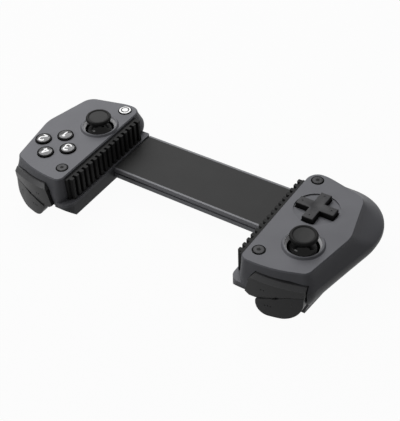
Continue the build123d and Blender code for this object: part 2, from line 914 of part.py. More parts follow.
def stick_skirt(place):
    """Dust dome with the neck above it and the shaft inside it."""
    with BuildPart() as skirt:
        with Locations((*place, pivot_height)):
            Sphere(dome_radius)
            Sphere(dome_radius - dome_wall, mode=Mode.SUBTRACT)
        with Locations((*place, dome_rim_height)):
            Box(all_round, all_round, all_round, align=HANG, mode=Mode.SUBTRACT)
        crest = pivot_height + dome_radius - dome_wall / 2
        with Locations((*place, shaft_foot)):
            Cylinder(shaft_radius, crest - shaft_foot, align=STAND)
        with BuildSketch(Plane.XY.offset(crest - dome_wall / 2)) as neck_foot:
            with Locations(place):
                Circle(neck_radius)
        with BuildSketch(Plane.XY.offset(neck_top - collar_drop)) as neck_head:
            with Locations(place):
                Circle(neck_waist)
        loft([neck_foot.sketch, neck_head.sketch])
        extrude(neck_head.sketch, amount=collar_drop)
    return skirt.part


def stick_cap(place):
    """Rubber thumb cap with a shallow dish, gripping the neck with a collar."""
    with BuildPart() as cap:
        with Locations((*place, neck_top)):
            Cylinder(cap_radius, cap_height, align=STAND)
        rims = cap.edges().filter_by(GeomType.CIRCLE).sort_by(Axis.Z)
        fillet(rims[-1], radius=cap_edge)
        chamfer(rims[0], length=cap_relief)
        with Locations((*place, neck_top + cap_height + cap_dish_radius - cap_dish_depth)):
            Sphere(cap_dish_radius, mode=Mode.SUBTRACT)
        with Locations((*place, neck_top - collar_drop + touch_gap)):
            Cylinder(neck_waist + collar_wall, collar_drop, align=STAND)
            Cylinder(neck_waist + seat_gap, collar_drop - touch_gap, align=STAND, mode=Mode.SUBTRACT)
    return cap.part


def stick_ring(place):
    """Metal wear ring in the stick's hole, with a bevelled bore."""
    outer = ring_hole_radius - seat_gap
    top = face_height + ring_rise
    with BuildPart() as ring:
        with BuildSketch(Plane.XZ) as section:
            with BuildLine():
                Polyline(
                    (ring_bore, plate_underside),
                    (outer, plate_underside),
                    (outer, top),
                    (ring_bore + ring_bevel, top),
                    (ring_bore, top - 2 * ring_bevel),
                    close=True,
                )
            make_face()
        revolve(section.sketch, axis=Axis.Z)
    with BuildPart() as placed:
        with Locations((*place, 0)):
            add(ring.part)
    return placed.part


def split_line(gap, with_notch):
    """Line between the bumper and the trigger, moved down by a gap, from the inner to the outer end."""
    points = [
        (inner_edge + reach * bay_outer_reach, rise * bay_outer_reach - gap)
        for reach, rise in split_line_shares
    ]
    if with_notch:
        sign = 1 if gap == 0 else -1
        middle = inner_edge + notch_reach
        inner = [point for point in points if point[0] < middle - notch_half]
        outer = [point for point in points if point[0] > middle + notch_half]
        (ax, ay), (bx, by) = inner[-1], outer[0]
        slope = (by - ay) / (bx - ax)
        notch = [
            (x, ay + slope * (x - ax) + rise)
            for x, rise in (
                (middle - notch_half, 0),
                (middle, sign * notch_height),
                (middle + notch_half, 0),
            )
        ]
        points = inner + notch + outer
    return points


def bumper():
    """Upper shoulder button: a curved bar with a slanted top, on a hub at its inner end."""
    lip = (bay_top_inner - shoulder_gap - lip_drop) + (inner_edge + bay_top_reach) * sin(radians(lip_tilt))
    lines = split_line(0, with_notch=True)
    with BuildPart() as bar:
        extrude(proud_outline(sole_height, shoulder_proud), amount=lip - sole_height)
        loft([proud_outline(lip, shoulder_proud), proud_outline(lip + lip_drop, lip_proud)], ruled=True)
    with BuildPart() as button:
        add(bar.part, rotation=(0, lip_tilt, 0))
        with BuildSketch(Plane.XZ.offset(-bulkhead_ahead - press_room)) as front:
            with BuildLine():
                Polyline(
                    (inner_edge + bay_top_reach + shoulder_gap, bay_top_inner - shoulder_gap),
                    (inner_edge + bay_mid_reach, bay_top_middle - shoulder_gap),
                    (inner_edge + bay_outer_reach - shoulder_gap, bay_top_outer - shoulder_gap),
                    (inner_edge + bay_outer_reach - shoulder_gap, lines[-1][1]),
                    *lines[-2::-1],
                    (inner_edge + bay_knee_reach + shoulder_gap, bay_knee),
                    close=True,
                )
            make_face()
        extrude(front.sketch, amount=-all_round, mode=Mode.INTERSECT)
        extrude(
            proud_outline(sole_height, shoulder_proud - shoulder_thickness),
            amount=body_depth,
            mode=Mode.SUBTRACT,
        )
        with Locations((*bumper_pin_spot, bumper_hub_low)):
            Cylinder(hub_radius, bumper_hub_high - bumper_hub_low, align=STAND)
            Box(
                bumper_arm_width,
                face_corners[-1][1] + lip_proud - bumper_pin_ahead,
                bumper_hub_high - bumper_hub_low,
                align=(Align.CENTER, Align.MIN, Align.MIN),
            )
            Cylinder(
                trigger_pin_radius + pin_gap,
                bumper_hub_high - bumper_hub_low,
                align=STAND,
                mode=Mode.SUBTRACT,
            )
    return button.part


def trigger():
    """Lower shoulder button: a curved paddle with two arms on the pin."""
    lines = split_line(shoulder_gap, with_notch=True)
    outer_x = inner_edge + bay_outer_reach - 2 * shoulder_gap
    inner_x = inner_edge + trigger_inner_reach
    top = [point for point in lines if inner_x < point[0] < outer_x]
    with BuildPart() as paddle:
        loft(
            [
                proud_outline(-trigger_low - overrun, trigger_proud_low),
                proud_outline(waist_height, shoulder_proud),
            ],
            ruled=True,
        )
        with BuildSketch(Plane.XZ.offset(-bulkhead_ahead)) as front:
            with BuildLine():
                FilletPolyline(
                    (inner_x, -trigger_low),
                    (outer_x, -trigger_low),
                    (outer_x, lines[-1][1]),
                    *top[::-1],
                    (inner_x, lines[2][1]),
                    radius=[share * trigger_width for share in trigger_round_shares]
                    + [edge_bevel / 2] * (len(top) + 2),
                    close=True,
                )
            make_face()
        extrude(front.sketch, amount=-all_round, mode=Mode.INTERSECT)
        extrude(
            proud_outline(sole_height, shoulder_proud - shoulder_thickness),
            amount=body_depth,
            mode=Mode.SUBTRACT,
        )
        for start in trigger_arm_starts:
            with BuildSketch(Plane.YZ.offset(inner_edge + start)) as arm:
                with Locations((trigger_pin_ahead, trigger_pin_height)):
                    Circle(hub_radius)
                    Rectangle(
                        face_corners[-1][1] - trigger_pin_ahead,
                        2 * hub_radius,
                        align=(Align.MIN, Align.CENTER),
                    )
                    Circle(trigger_pin_radius + pin_gap, mode=Mode.SUBTRACT)
            extrude(arm.sketch, amount=arm_width_x)
    return paddle.part


def cross_pin(start, end):
    """Pin along X that the trigger turns on."""
    with BuildPart() as pin:
        with Locations((inner_edge + start, trigger_pin_ahead, trigger_pin_height)):
            Cylinder(
                trigger_pin_radius - seat_gap / 2,
                end - start,
                rotation=(0, 90, 0),
                align=STAND,
            )
    return pin.part


def upright_pin():
    """Pin along Z that the bumper turns on."""
    with BuildPart() as pin:
        with Locations((*bumper_pin_spot, bumper_pin_low + seat_gap)):
            Cylinder(
                trigger_pin_radius - seat_gap / 2,
                bumper_pin_high - bumper_pin_low - 2 * seat_gap,
                align=STAND,
            )
    return pin.part


def torsion_spring():
    """Return spring wound round the trigger's pin, with a leg to the bulkhead."""
    begin = (inner_edge + spring_start, trigger_pin_ahead, trigger_pin_height)
    with BuildPart() as spring:
        with BuildLine() as path:
            Helix(
                pitch=spring_run / spring_turns,
                height=spring_run,
                radius=spring_radius,
                center=begin,
                direction=(1, 0, 0),
            )
        with BuildSketch(Plane(origin=path.line @ 0, z_dir=path.line % 0)):
            RegularPolygon(spring_wire, wire_sides)
        sweep(is_frenet=True)
    return spring.part


def pull_springs():
    """Two springs that draw the halves together, hooked between the end block and the slide plate."""
    length = plate_start - block_end
    turns = int(length / pull_pitch)
    with BuildPart() as springs:
        for side in (pull_side, -pull_side):
            with BuildLine() as path:
                Helix(
                    pitch=length / turns,
                    height=length - 2 * pull_wire,
                    radius=pull_radius,
                    center=(block_end + pull_wire, side, (channel_floor - skin_thickness) / 2),
                    direction=(1, 0, 0),
                )
            with BuildSketch(Plane(origin=path.line @ 0, z_dir=path.line % 0)) as wire:
                RegularPolygon(pull_wire, wire_sides)
            sweep(wire.sketch, path=path.line, is_frenet=True)
    return springs.part


def bridge_channel():
    """Grooved channel, open at the far end, with a solid block in the d-pad half."""
    half = bridge_width / 2
    with BuildPart() as channel:
        with BuildSketch(Plane.YZ.offset(bridge_start)) as section:
            with BuildLine():
                right_side = [
                    (half, -bridge_depth),
                    (half, -groove_bottom),
                    (half - groove_depth, -groove_bottom),
                    (half - groove_depth, -groove_top),
                    (half, -groove_top),
                    (half, 0),
                    (half - skin_lip, 0),
                    (half - skin_lip, -skin_thickness),
                    (channel_half, -skin_thickness),
                    (channel_half, channel_floor),
                ]
                Polyline(*right_side, *[(-y, z) for y, z in reversed(right_side)], close=True)
            make_face()
        extrude(section.sketch, amount=bridge_end - bridge_start)
        with Locations((bridge_start, 0, channel_floor)):
            Box(
                bridge_block,
                2 * channel_half,
                -skin_thickness - channel_floor,
                align=(Align.MIN, Align.CENTER, Align.MIN),
            )
            Box(
                bridge_block,
                cable_width + 4 * seat_gap,
                2 * cable_thickness,
                align=(Align.MIN, Align.CENTER, Align.MIN),
                mode=Mode.SUBTRACT,
            )
        screw_x = -(ledge_edge_x + bridge_screw_reach + screw_head_radius)
        for side in (bridge_screw_side, -bridge_screw_side):
            with Locations((screw_x, side, -bridge_depth)):
                Cylinder(
                    screw_radius,
                    2 * (bridge_screw_bite + touch_gap),
                    mode=Mode.SUBTRACT,
                )
    return channel.part


def bridge_skin():
    """Dark deck plate let into the top of the channel."""
    with BuildPart() as skin:
        with Locations((bridge_start, 0, 0)):
            Box(
                bridge_end - bridge_start,
                bridge_width - 2 * (skin_lip + seat_gap),
                skin_thickness,
                align=(Align.MIN, Align.CENTER, Align.MAX),
            )
        with Locations((-bridge_end, 0, -skin_step)):
            Box(
                -bridge_end - bridge_start,
                bridge_width,
                skin_thickness,
                align=(Align.MAX, Align.CENTER, Align.MIN),
                mode=Mode.SUBTRACT,
            )
    return skin.part


def slide_plate():
    """Flat plate fixed to the face-button half, which slides in the channel."""
    screw_x = ledge_edge_x + bridge_screw_reach + screw_head_radius
    with BuildPart() as plate:
        with Locations((plate_start, 0, plate_low)):
            Box(
                plate_end - plate_start,
                plate_width,
                plate_thickness,
                align=(Align.MIN, Align.CENTER, Align.MIN),
            )
        for side in (plate_screw_side, -plate_screw_side):
            with Locations((screw_x, side, plate_low)):
                Cylinder(
                    screw_radius,
                    2 * (plate_screw_bite + touch_gap),
                    mode=Mode.SUBTRACT,
                )
    return plate.part


def glide_strips():
    """Plastic strips in the channel that the slide plate runs between."""
    side = plate_width / 2 - glide_width / 2
    with BuildPart() as strips:
        for y in (side, -side):
            with Locations((bridge_end - glide_length, y, channel_floor)):
                Box(
                    glide_length,
                    glide_width,
                    plate_low - glide_gap - channel_floor,
                    align=(Align.MIN, Align.CENTER, Align.MIN),
                )
            with Locations((bridge_end - glide_length, y, -skin_thickness)):
                Box(
                    glide_length,
                    glide_width,
                    plate_top - skin_thickness - glide_gap,
                    align=(Align.MIN, Align.CENTER, Align.MAX),
                )
    return strips.part


def bridge_cable():
    """Flat cable lying on the channel's floor, from the d-pad half to where the folded run starts."""
    with BuildPart() as cable:
        with Locations((bridge_start - cable_tail, 0, channel_floor + seat_gap)):
            Box(
                plate_start + cable_overlap - bridge_start + cable_tail,
                cable_width,
                cable_thickness,
                align=(Align.MIN, Align.CENTER, Align.MIN),
            )
    return cable.part


def slide_cable():
    """Flat cable folded round the slide plate's tail: below it over the fixed run, above it to the far half."""
    low = channel_floor + 2 * seat_gap + cable_thickness + touch_gap
    high = -plate_top + seat_gap + cable_thickness
    tail = plate_start - touch_gap
    middle = (low + high) / 2
    radius = (high - low) / 2
    with BuildPart() as cable:
        with BuildSketch(Plane.XZ.offset(-cable_width / 2)) as side:
            with BuildLine():
                Line((plate_start + cable_overlap, low), (tail, low))
                ThreePointArc((tail, low), (tail - radius, middle), (tail, high))
                Line((tail, high), (plate_end + cable_bend, high))
                Line((plate_end + cable_bend, high), (plate_end + cable_bend, high - cable_thickness))
                Line((plate_end + cable_bend, high - cable_thickness), (tail, high - cable_thickness))
                ThreePointArc(
                    (tail, high - cable_thickness),
                    (tail - radius + cable_thickness, middle),
                    (tail, low + cable_thickness),
                )
                Line((tail, low + cable_thickness), (plate_start + cable_overlap, low + cable_thickness))
                Line((plate_start + cable_overlap, low + cable_thickness), (plate_start + cable_overlap, low))
            make_face()
        extrude(side.sketch, amount=cable_width)
    return cable.part


def dpad_cross():
    """D-pad: dished cross on a round flange, with four nubs and a socket for the ball."""
    top = face_height + arm_height
    with BuildPart() as cross:
        with BuildSketch(Plane.XY.offset(dpad_flange_low)) as arms:
            with Locations(dpad_spot):
                Rectangle(2 * arm_reach, arm_width)
                Rectangle(arm_width, 2 * arm_reach)
        extrude(arms.sketch, amount=top - dpad_flange_low)
        fillet(cross.faces().sort_by(Axis.Z)[-1].edges(), radius=arm_edge)
        with Locations((*dpad_spot, top + hub_dish_radius - hub_dish_depth)):
            Sphere(hub_dish_radius, mode=Mode.SUBTRACT)
        with Locations(*[(*spot, top) for spot in nub_spots]):
            Cylinder(dimple_radius, 2 * dimple_depth, mode=Mode.SUBTRACT)
        with Locations((*dpad_spot, dpad_flange_low)):
            Cylinder(dpad_flange_radius, dpad_flange_thickness, align=STAND)
        with Locations(*[(*spot, nub_foot) for spot in nub_spots]):
            Cylinder(nub_radius, dpad_flange_low - nub_foot + seat_gap, align=STAND)
        with Locations((*dpad_spot, dpad_flange_low)):
            Cylinder(
                post_radius + arm_gap,
                dpad_pivot_height - dpad_flange_low,
                align=STAND,
                mode=Mode.SUBTRACT,
            )
        with Locations((*dpad_spot, dpad_pivot_height)):
            Sphere(ball_radius + ball_gap, mode=Mode.SUBTRACT)
    return cross.part


def dpad_post():
    """Post on the board with a cup for the ball."""
    with BuildPart() as post:
        with Locations((*dpad_spot, board_top)):
            Cylinder(post_radius, dpad_flange_low - board_top, align=STAND)
        with Locations((*dpad_spot, dpad_pivot_height)):
            Sphere(ball_radius + ball_gap, mode=Mode.SUBTRACT)
    return post.part


def dpad_ball():
    """Ball that the d-pad rocks on."""
    with BuildPart() as ball:
        with Locations((*dpad_spot, dpad_pivot_height)):
            Sphere(ball_radius)
    return ball.part


def battery():
    """Pouch battery on the floor of the d-pad half."""
    with BuildPart() as cell:
        with Locations((*face_spot(battery_reach, battery_ahead), sole_height + wall + seat_gap)):
            Box(battery_width, battery_length, battery_height, align=STAND)
        fillet(cell.edges().filter_by(Axis.Y), radius=battery_edge)
    return cell.part


hand_in("right_front_shell", front_shell(right_stick, right_holes, menu_spot, with_dpad=False))
hand_in("left_front_shell", front_shell(left_stick, left_holes, upper_spot, with_dpad=True), mirrored=True)
hand_in("right_rear_shell", rear_shell(slot_for_channel=False))
hand_in("left_rear_shell", rear_shell(slot_for_channel=True), mirrored=True)

case_screws = screw_stand(
    screw_places, head_seat - screw_head_height, screw_head_height, screw_length - touch_gap
)
sides = {
    "right": (right_stick, menu_spot, [list(button_spots.values()), [home_spot]], [], False),
    "left": (left_stick, upper_spot, [[lower_spot], nub_spots], [dpad_spot], True),
}
for side_name, (stick_spot, nested_place, sheet_groups, post_holes, is_left) in sides.items():
    pieces = {
        "phone_pad": phone_pad(),
        "board": board(stick_spot),
        "contact_sheet": contact_sheet(sheet_groups, post_holes, nested_place),
        "stick_base": stick_base(stick_spot),
        "stick_yoke": stick_yoke(stick_spot),
        "stick_rocker": stick_rocker(stick_spot),
        "stick_skirt": stick_skirt(stick_spot),
        "stick_cap": stick_cap(stick_spot),
        "stick_ring": stick_ring(stick_spot),
        "bumper": bumper(),
        "bumper_pin": upright_pin(),
        "trigger": trigger(),
        "trigger_pin": cross_pin(trigger_pin_start, trigger_pin_end),
        "trigger_spring": torsion_spring(),
        "case_screws": case_screws,
    }
    for piece_name, built in pieces.items():
        hand_in(f"{side_name}_{piece_name}", built, mirrored=is_left)

for button_name, spot in button_spots.items():
    hand_in(button_name, push_button(spot, button_radius, button_height, button_crown, flange_step))
hand_in("home_button", push_button(home_spot, home_radius, home_height, home_crown, small_flange_step))
hand_in("menu_button", nested_button(menu_spot))
hand_in("upper_button", nested_button(upper_spot), mirrored=True)
lower_built = push_button(lower_spot, small_radius, small_height, small_crown, small_flange_step)
hand_in("lower_button", lower_built, mirrored=True)
hand_in("dpad", dpad_cross(), mirrored=True)
hand_in("dpad_ball", dpad_ball(), mirrored=True)
hand_in("dpad_post", dpad_post(), mirrored=True)
hand_in("battery", battery(), mirrored=True)

hand_in("bridge_channel", bridge_channel())
hand_in("bridge_skin", bridge_skin())
hand_in("slide_plate", slide_plate())
hand_in("glide_strips", glide_strips())
hand_in("pull_springs", pull_springs())
hand_in("bridge_cable", bridge_cable())
hand_in("slide_cable", slide_cable())
bridge_screw_x = ledge_edge_x + bridge_screw_reach + screw_head_radius
hand_in(
    "bridge_screws",
    screw_stand(
        [(bridge_screw_x, bridge_screw_side), (bridge_screw_x, -bridge_screw_side)],
        ledge_bottom,
        bridge_head_sink,
        ledge_bottom_to_block,
    ),
    mirrored=True,
)
hand_in(
    "plate_screws",
    screw_stand(
        [(bridge_screw_x, plate_screw_side), (bridge_screw_x, -plate_screw_side)],
        ledge_bottom + plate_screw_sink - screw_head_height,
        screw_head_height,
        plate_low + plate_screw_bite - ledge_bottom - plate_screw_sink,
    ),
)
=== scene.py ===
import json
import logging
from dataclasses import dataclass, field
from enum import Enum
from math import cos, pi, radians, sin

import bpy
import numpy as np
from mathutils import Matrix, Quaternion, Vector
from mathutils.bvhtree import BVHTree


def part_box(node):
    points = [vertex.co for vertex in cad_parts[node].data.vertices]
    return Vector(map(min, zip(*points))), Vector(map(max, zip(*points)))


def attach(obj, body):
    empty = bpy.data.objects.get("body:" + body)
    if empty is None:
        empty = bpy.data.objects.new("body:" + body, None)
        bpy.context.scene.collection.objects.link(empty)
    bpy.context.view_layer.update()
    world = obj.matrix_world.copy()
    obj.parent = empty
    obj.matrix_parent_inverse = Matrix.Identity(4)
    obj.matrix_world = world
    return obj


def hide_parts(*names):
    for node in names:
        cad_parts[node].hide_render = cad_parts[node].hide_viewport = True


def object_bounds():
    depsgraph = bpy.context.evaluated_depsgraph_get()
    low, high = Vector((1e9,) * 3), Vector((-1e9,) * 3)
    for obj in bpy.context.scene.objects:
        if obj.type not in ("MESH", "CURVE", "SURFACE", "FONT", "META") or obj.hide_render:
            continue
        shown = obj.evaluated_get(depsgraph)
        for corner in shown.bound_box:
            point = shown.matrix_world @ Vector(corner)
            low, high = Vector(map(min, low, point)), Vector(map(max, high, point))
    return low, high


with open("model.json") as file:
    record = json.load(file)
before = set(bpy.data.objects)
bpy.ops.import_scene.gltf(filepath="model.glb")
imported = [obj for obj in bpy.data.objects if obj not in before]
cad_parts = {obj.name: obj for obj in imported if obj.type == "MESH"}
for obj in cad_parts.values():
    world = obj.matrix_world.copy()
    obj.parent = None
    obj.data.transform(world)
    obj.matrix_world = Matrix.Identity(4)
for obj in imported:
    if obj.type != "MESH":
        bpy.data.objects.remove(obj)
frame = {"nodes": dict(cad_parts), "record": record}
CAD_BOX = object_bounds()
LOG = logging.getLogger("phone_controller")
MM = 0.001
WHITE = (1.0, 1.0, 1.0, 1.0)

# Points of a CAD node that agree to this many metres are one point.
WELD_STEP = 1e-7

# The two noises of the moulding grain: input, output, detail and roughness.
GRAIN_LAYERS = (("Fineness", "Grain", 3.0, 0.6), ("Width", "Cloud", 2.0, 0.5))

# Rays of the rounded normal that finds the edges for the painted highlight, and how far it reaches in
# metres.
EDGE_SAMPLES = 4
EDGE_RADIUS = 0.5 * MM

# A raised dot's steps round its line, and the rounding of its top edge in millimetres.
DOT_SEGMENTS = 20
DOT_ROUNDING = 0.06

SMALL_BUTTONS = ("menu_button", "upper_button", "lower_button")

Colour = tuple[float, float, float]
Point = tuple[float, float, float]
Corner = tuple[float, float, float]
Faces = list[list[int]]
Mesh = tuple[np.ndarray, Faces]
Stroke = list[tuple[float, float]]
Tree = bpy.types.NodeTree
Socket = bpy.types.NodeSocket


class Side(Enum):
    """The two halves of the controller, with the sign of X on which each lies."""

    LEFT = -1
    RIGHT = 1

    @property
    def word(self) -> str:
        """The half's word in node and body names."""
        return self.name.lower()


class Mark(Enum):
    """Plain numbers that stand where the face buttons carry signs."""

    ONE = "1"
    TWO = "2"
    THREE = "3"
    FOUR = "4"


# The pen strokes of each number, as shares of its height.
MARK_STROKES: dict[Mark, list[Stroke]] = {
    Mark.ONE: [[(-0.22, 0.26), (0.06, 0.50)], [(0.06, 0.50), (0.06, -0.50)]],
    Mark.TWO: [
        [(-0.30, 0.22), (-0.28, 0.50), (0.30, 0.58), (0.36, 0.12), (0.0, -0.18), (-0.32, -0.50)],
        [(-0.32, -0.50), (0.36, -0.50)],
    ],
    Mark.THREE: [
        [(-0.30, 0.36), (-0.12, 0.54), (0.34, 0.52), (0.32, 0.04), (-0.06, 0.04)],
        [(-0.10, 0.04), (0.42, 0.04), (0.42, -0.50), (0.0, -0.54), (-0.34, -0.34)],
    ],
    Mark.FOUR: [
        [(0.14, -0.50), (0.14, 0.50)],
        [(0.14, 0.50), (-0.36, -0.20)],
        [(-0.36, -0.20), (0.38, -0.20)],
    ],
}

BUTTON_MARKS = {
    "button_bottom": Mark.ONE,
    "button_right": Mark.TWO,
    "button_left": Mark.THREE,
    "button_top": Mark.FOUR,
}


# Surfaces worked out with numpy


def grid_quads(rows: int, columns: int, close_rows: bool) -> np.ndarray:
    """Corner numbers of the quads between the points of a grid whose columns wrap round.

    Point (i, j) has number i * columns + j. A quad joins (i, j), (i, j+1), (i+1, j+1), (i+1, j).

    Args:
        rows: number of rows of points.
        columns: number of points in each row.
        close_rows: whether the last row joins the first one too.

    Returns:
        Array of shape (quads, 4).
    """
    row = np.arange(rows if close_rows else rows - 1)
    column = np.arange(columns)
    i, j = np.meshgrid(row, column, indexing="ij")
    below, beside = (i + 1) % rows, (j + 1) % columns
    quads = np.stack(
        [i * columns + j, i * columns + beside, below * columns + beside, below * columns + j],
        axis=-1,
    )
    return quads.reshape(-1, 4)


def turned_surface(profile: np.ndarray, centre: Point, segments: int, closed: bool) -> Mesh:
    """Surface of a profile turned about a line along Z.

    A point of the profile (r, z) goes to (x0 + r cos t, y0 + r sin t, z0 + z) for the angles t of
    the segments. Where the profile isn't closed, its first and its last point lie on the line, and
    each becomes one point with a fan of triangles.

    Args:
        profile: array of (radius, height) rows, from the lower end to the upper end.
        centre: the line's x and y, and what is added to the heights.
        segments: number of steps round the line.
        closed: whether the profile is a loop that stays clear of the line.

    Returns:
        The vertices and the faces.
    """
    rows = profile if closed else profile[1:-1]
    angle = np.linspace(0.0, 2.0 * pi, segments, endpoint=False)
    radius, height = rows[:, 0:1], rows[:, 1:2]
    turned = np.stack([radius * np.cos(angle), radius * np.sin(angle), height + 0.0 * angle], axis=-1)
    grid = turned.reshape(-1, 3) + np.array(centre)
    quads = grid_quads(len(rows), segments, closed).tolist()
    if closed:
        return grid, quads
    ends_on_line = [(centre[0], centre[1], centre[2] + end) for end in (profile[0, 1], profile[-1, 1])]
    vertices = np.concatenate([grid, ends_on_line])
    ring = np.arange(segments)
    after = (ring + 1) % segments
    last = (len(rows) - 1) * segments
    low_fan = np.stack([np.full(segments, len(grid)), after, ring], axis=-1)
    high_fan = np.stack([np.full(segments, len(grid) + 1), last + ring, last + after], axis=-1)
    return vertices, quads + low_fan.tolist() + high_fan.tolist()


def rounded_path(corners: tuple[Corner, ...], steps: int = 5) -> np.ndarray:
    """Profile through corners, each rounded by a quadratic curve.

    A corner c with rounding q is replaced by the points (1-s)^2 a + 2 s (1-s) c + s^2 b, where a
    and b lie a distance q before and after c on the two lines that meet there.

    Args:
        corners: rows of (radius, height, rounding), in order.
        steps: points on each rounded corner.

    Returns:
        Array of (radius, height) rows.
    """
    points = np.array([(row[0], row[1]) for row in corners])
    pieces = [points[:1]]
    for before, here, after, row in zip(points[:-2], points[1:-1], points[2:], corners[1:-1]):
        reach = row[2]
        if reach <= 0.0:
            pieces.append(here[None, :])
            continue
        back, ahead = before - here, after - here
        start = here + back / np.linalg.norm(back) * reach
        stop = here + ahead / np.linalg.norm(ahead) * reach
        s = np.linspace(0.0, 1.0, steps)[:, None]
        pieces.append((1 - s) ** 2 * start + 2 * s * (1 - s) * here + s**2 * stop)
    pieces.append(points[-1:])
    return np.concatenate(pieces)


def distance_along(path: np.ndarray) -> np.ndarray:
    """Distance along a path at each of its points, from 0 at the first."""
    return np.concatenate([[0.0], np.cumsum(np.linalg.norm(np.diff(path, axis=0), axis=1))])


def dot_profile(radius: float, rise: float, sink: float) -> np.ndarray:
    """Profile of a raised dot: a foot below height 0, an upright wall and a rounded top edge.

    Args:
        radius: the dot's radius in millimetres.
        rise: its top above height 0, in millimetres.
        sink: its foot below height 0, in millimetres.

    Returns:
        Array of (radius, height) rows in metres.
    """
    corners = ((0.0, -sink, 0.0), (radius, -sink, 0.0), (radius, rise, DOT_ROUNDING), (0.0, rise, 0.0))
    return rounded_path(corners) * MM


def joined(parts: list[Mesh]) -> Mesh:
    """Puts several meshes into one, with the corner numbers of each moved past those before it.

    Args:
        parts: the vertices and the faces of each mesh.

    Returns:
        All vertices and all faces.
    """
    starts = np.cumsum([0] + [len(vertices) for vertices, _ in parts]).tolist()
    vertices = np.concatenate([vertices for vertices, _ in parts])
    faces = [[corner + start for corner in face] for start, (_, part) in zip(starts, parts) for face in part]
    return vertices, faces


def ball_radius(radius: float, crown: float) -> float:
    """Radius of the ball that a domed top is part of: (r^2 + h^2) / 2h for a dome r wide and h high."""
    return (radius**2 + crown**2) / (2 * crown)


def made_object(name: str, vertices: np.ndarray, faces: Faces, sharp: float) -> bpy.types.Object:
    """Puts vertices and faces into a new object at the origin, shaded smooth below an angle.

    Args:
        name: the object's name.
        vertices: array of points in metres.
        faces: corner numbers of each face.
        sharp: angle in degrees above which an edge stays sharp.

    Returns:
        The object, linked to the scene.
    """
    mesh = bpy.data.meshes.new(name)
    mesh.from_pydata(vertices.tolist(), [], faces)
    mesh.validate()
    mesh.shade_smooth()
    mesh.set_sharp_from_angle(angle=radians(sharp))
    mesh.update()
    made = bpy.data.objects.new(name, mesh)
    bpy.context.scene.collection.objects.link(made)
    return made


def welded_copy(node: str, sharp: float) -> bpy.types.Object:
    """Copies a CAD node's loose triangles into one welded mesh that can be shaded smooth.

    Points that agree to a tenth of a micron are one point, and triangles that lose a corner by
    that are dropped. The shape is unchanged.

    Args:
        node: the CAD node's name.
        sharp: angle in degrees above which an edge stays sharp.

    Returns:
        The copy, which replaces the node.
    """
    source = frame["nodes"][node].data
    points = np.empty(len(source.vertices) * 3)
    source.vertices.foreach_get("co", points)
    corners = np.empty(len(source.loops), dtype=np.int64)
    source.loops.foreach_get("vertex_index", corners)
    points = points.reshape(-1, 3)
    rounded = np.round(points / WELD_STEP).astype(np.int64)
    _, first, number = np.unique(rounded, axis=0, return_index=True, return_inverse=True)
    triangles = number.reshape(-1)[corners].reshape(-1, 3)
    whole = (triangles != np.roll(triangles, -1, axis=1)).all(axis=1)
    copy = made_object(f"{node}_shown", points[first], triangles[whole].tolist(), sharp)
    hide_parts(node)
    return copy


# What the frame says about a node


def centre_of(node: str) -> Point:
    """The middle of a CAD node's box in X and Y, at height 0."""
    low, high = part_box(node)
    return ((low[0] + high[0]) / 2, (low[1] + high[1]) / 2, 0.0)


def top_of(node: str) -> Point:
    """The middle of a CAD node's box in X and Y, at the box's top."""
    return (*centre_of(node)[:2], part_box(node)[1][2])


def body_of_node(node: str) -> str:
    """The body that holds a CAD node."""
    groups = frame["record"]["behaviour"]["bodies"]
    return next(body for body, members in groups.items() if node in members)


# Shader nodes and the groups that several finishes share


def new_group(name: str, inputs: dict[str, float | Point], outputs: list[str]) -> Tree:
    """Makes an empty shader group with number or point inputs and number outputs.

    Args:
        name: the group's name.
        inputs: each input's name and default; a tuple makes a vector input.
        outputs: names of the outputs.

    Returns:
        The node tree.
    """
    tree = bpy.data.node_groups.new(name, "ShaderNodeTree")
    for title, default in inputs.items():
        kind = "NodeSocketVector" if isinstance(default, tuple) else "NodeSocketFloat"
        socket = tree.interface.new_socket(title, in_out="INPUT", socket_type=kind)
        socket.default_value = default
    for title in outputs:
        tree.interface.new_socket(title, in_out="OUTPUT", socket_type="NodeSocketFloat")
    tree.nodes.new("NodeGroupInput")
    tree.nodes.new("NodeGroupOutput")
    return tree


def ends(tree: Tree) -> tuple[bpy.types.Node, bpy.types.Node]:
    """The group's input node and output node."""
    return tree.nodes["Group Input"], tree.nodes["Group Output"]


def placed_group(tree: Tree, group: Tree, values: dict[str, float]) -> bpy.types.Node:
    """Places a shader group in a material.

    Args:
        tree: the material's node tree.
        group: the group.
        values: the values of its inputs, by name.

    Returns:
        The group's node.
    """
    node = tree.nodes.new("ShaderNodeGroup")
    node.node_tree = group
    for title, value in values.items():
        node.inputs[title].default_value = value
    return node


def math_node(tree: Tree, operation: str, first: Socket | float, second: Socket | float) -> Socket:
    """Adds a Math node fed by sockets or plain numbers.

    Args:
        tree: the node tree.
        operation: the node's operation.
        first: socket or number of the first input.
        second: socket or number of the second input.

    Returns:
        The node's output socket.
    """
    node = tree.nodes.new("ShaderNodeMath")
    node.operation = operation
    for place, value in enumerate((first, second)):
        if isinstance(value, (int, float)):
            node.inputs[place].default_value = value
        else:
            tree.links.new(value, node.inputs[place])
    return node.outputs[0]


def colour_mix(tree: Tree, share: Socket, first: Socket | Colour, second: Socket | Colour) -> Socket:
    """Adds a Mix node that goes from one colour to another.

    Args:
        tree: the node tree.
        share: socket of the second colour's share.
        first: socket or plain colour at share 0.
        second: socket or plain colour at share 1.

    Returns:
        The socket of the mixed colour.
    """
    node = tree.nodes.new("ShaderNodeMix")
    node.data_type = "RGBA"
    tree.links.new(share, node.inputs["Factor"])
    for title, value in (("A", first), ("B", second)):
        if isinstance(value, tuple):
            node.inputs[title].default_value = (*value, 1.0)
        else:
            tree.links.new(value, node.inputs[title])
    return node.outputs["Result"]


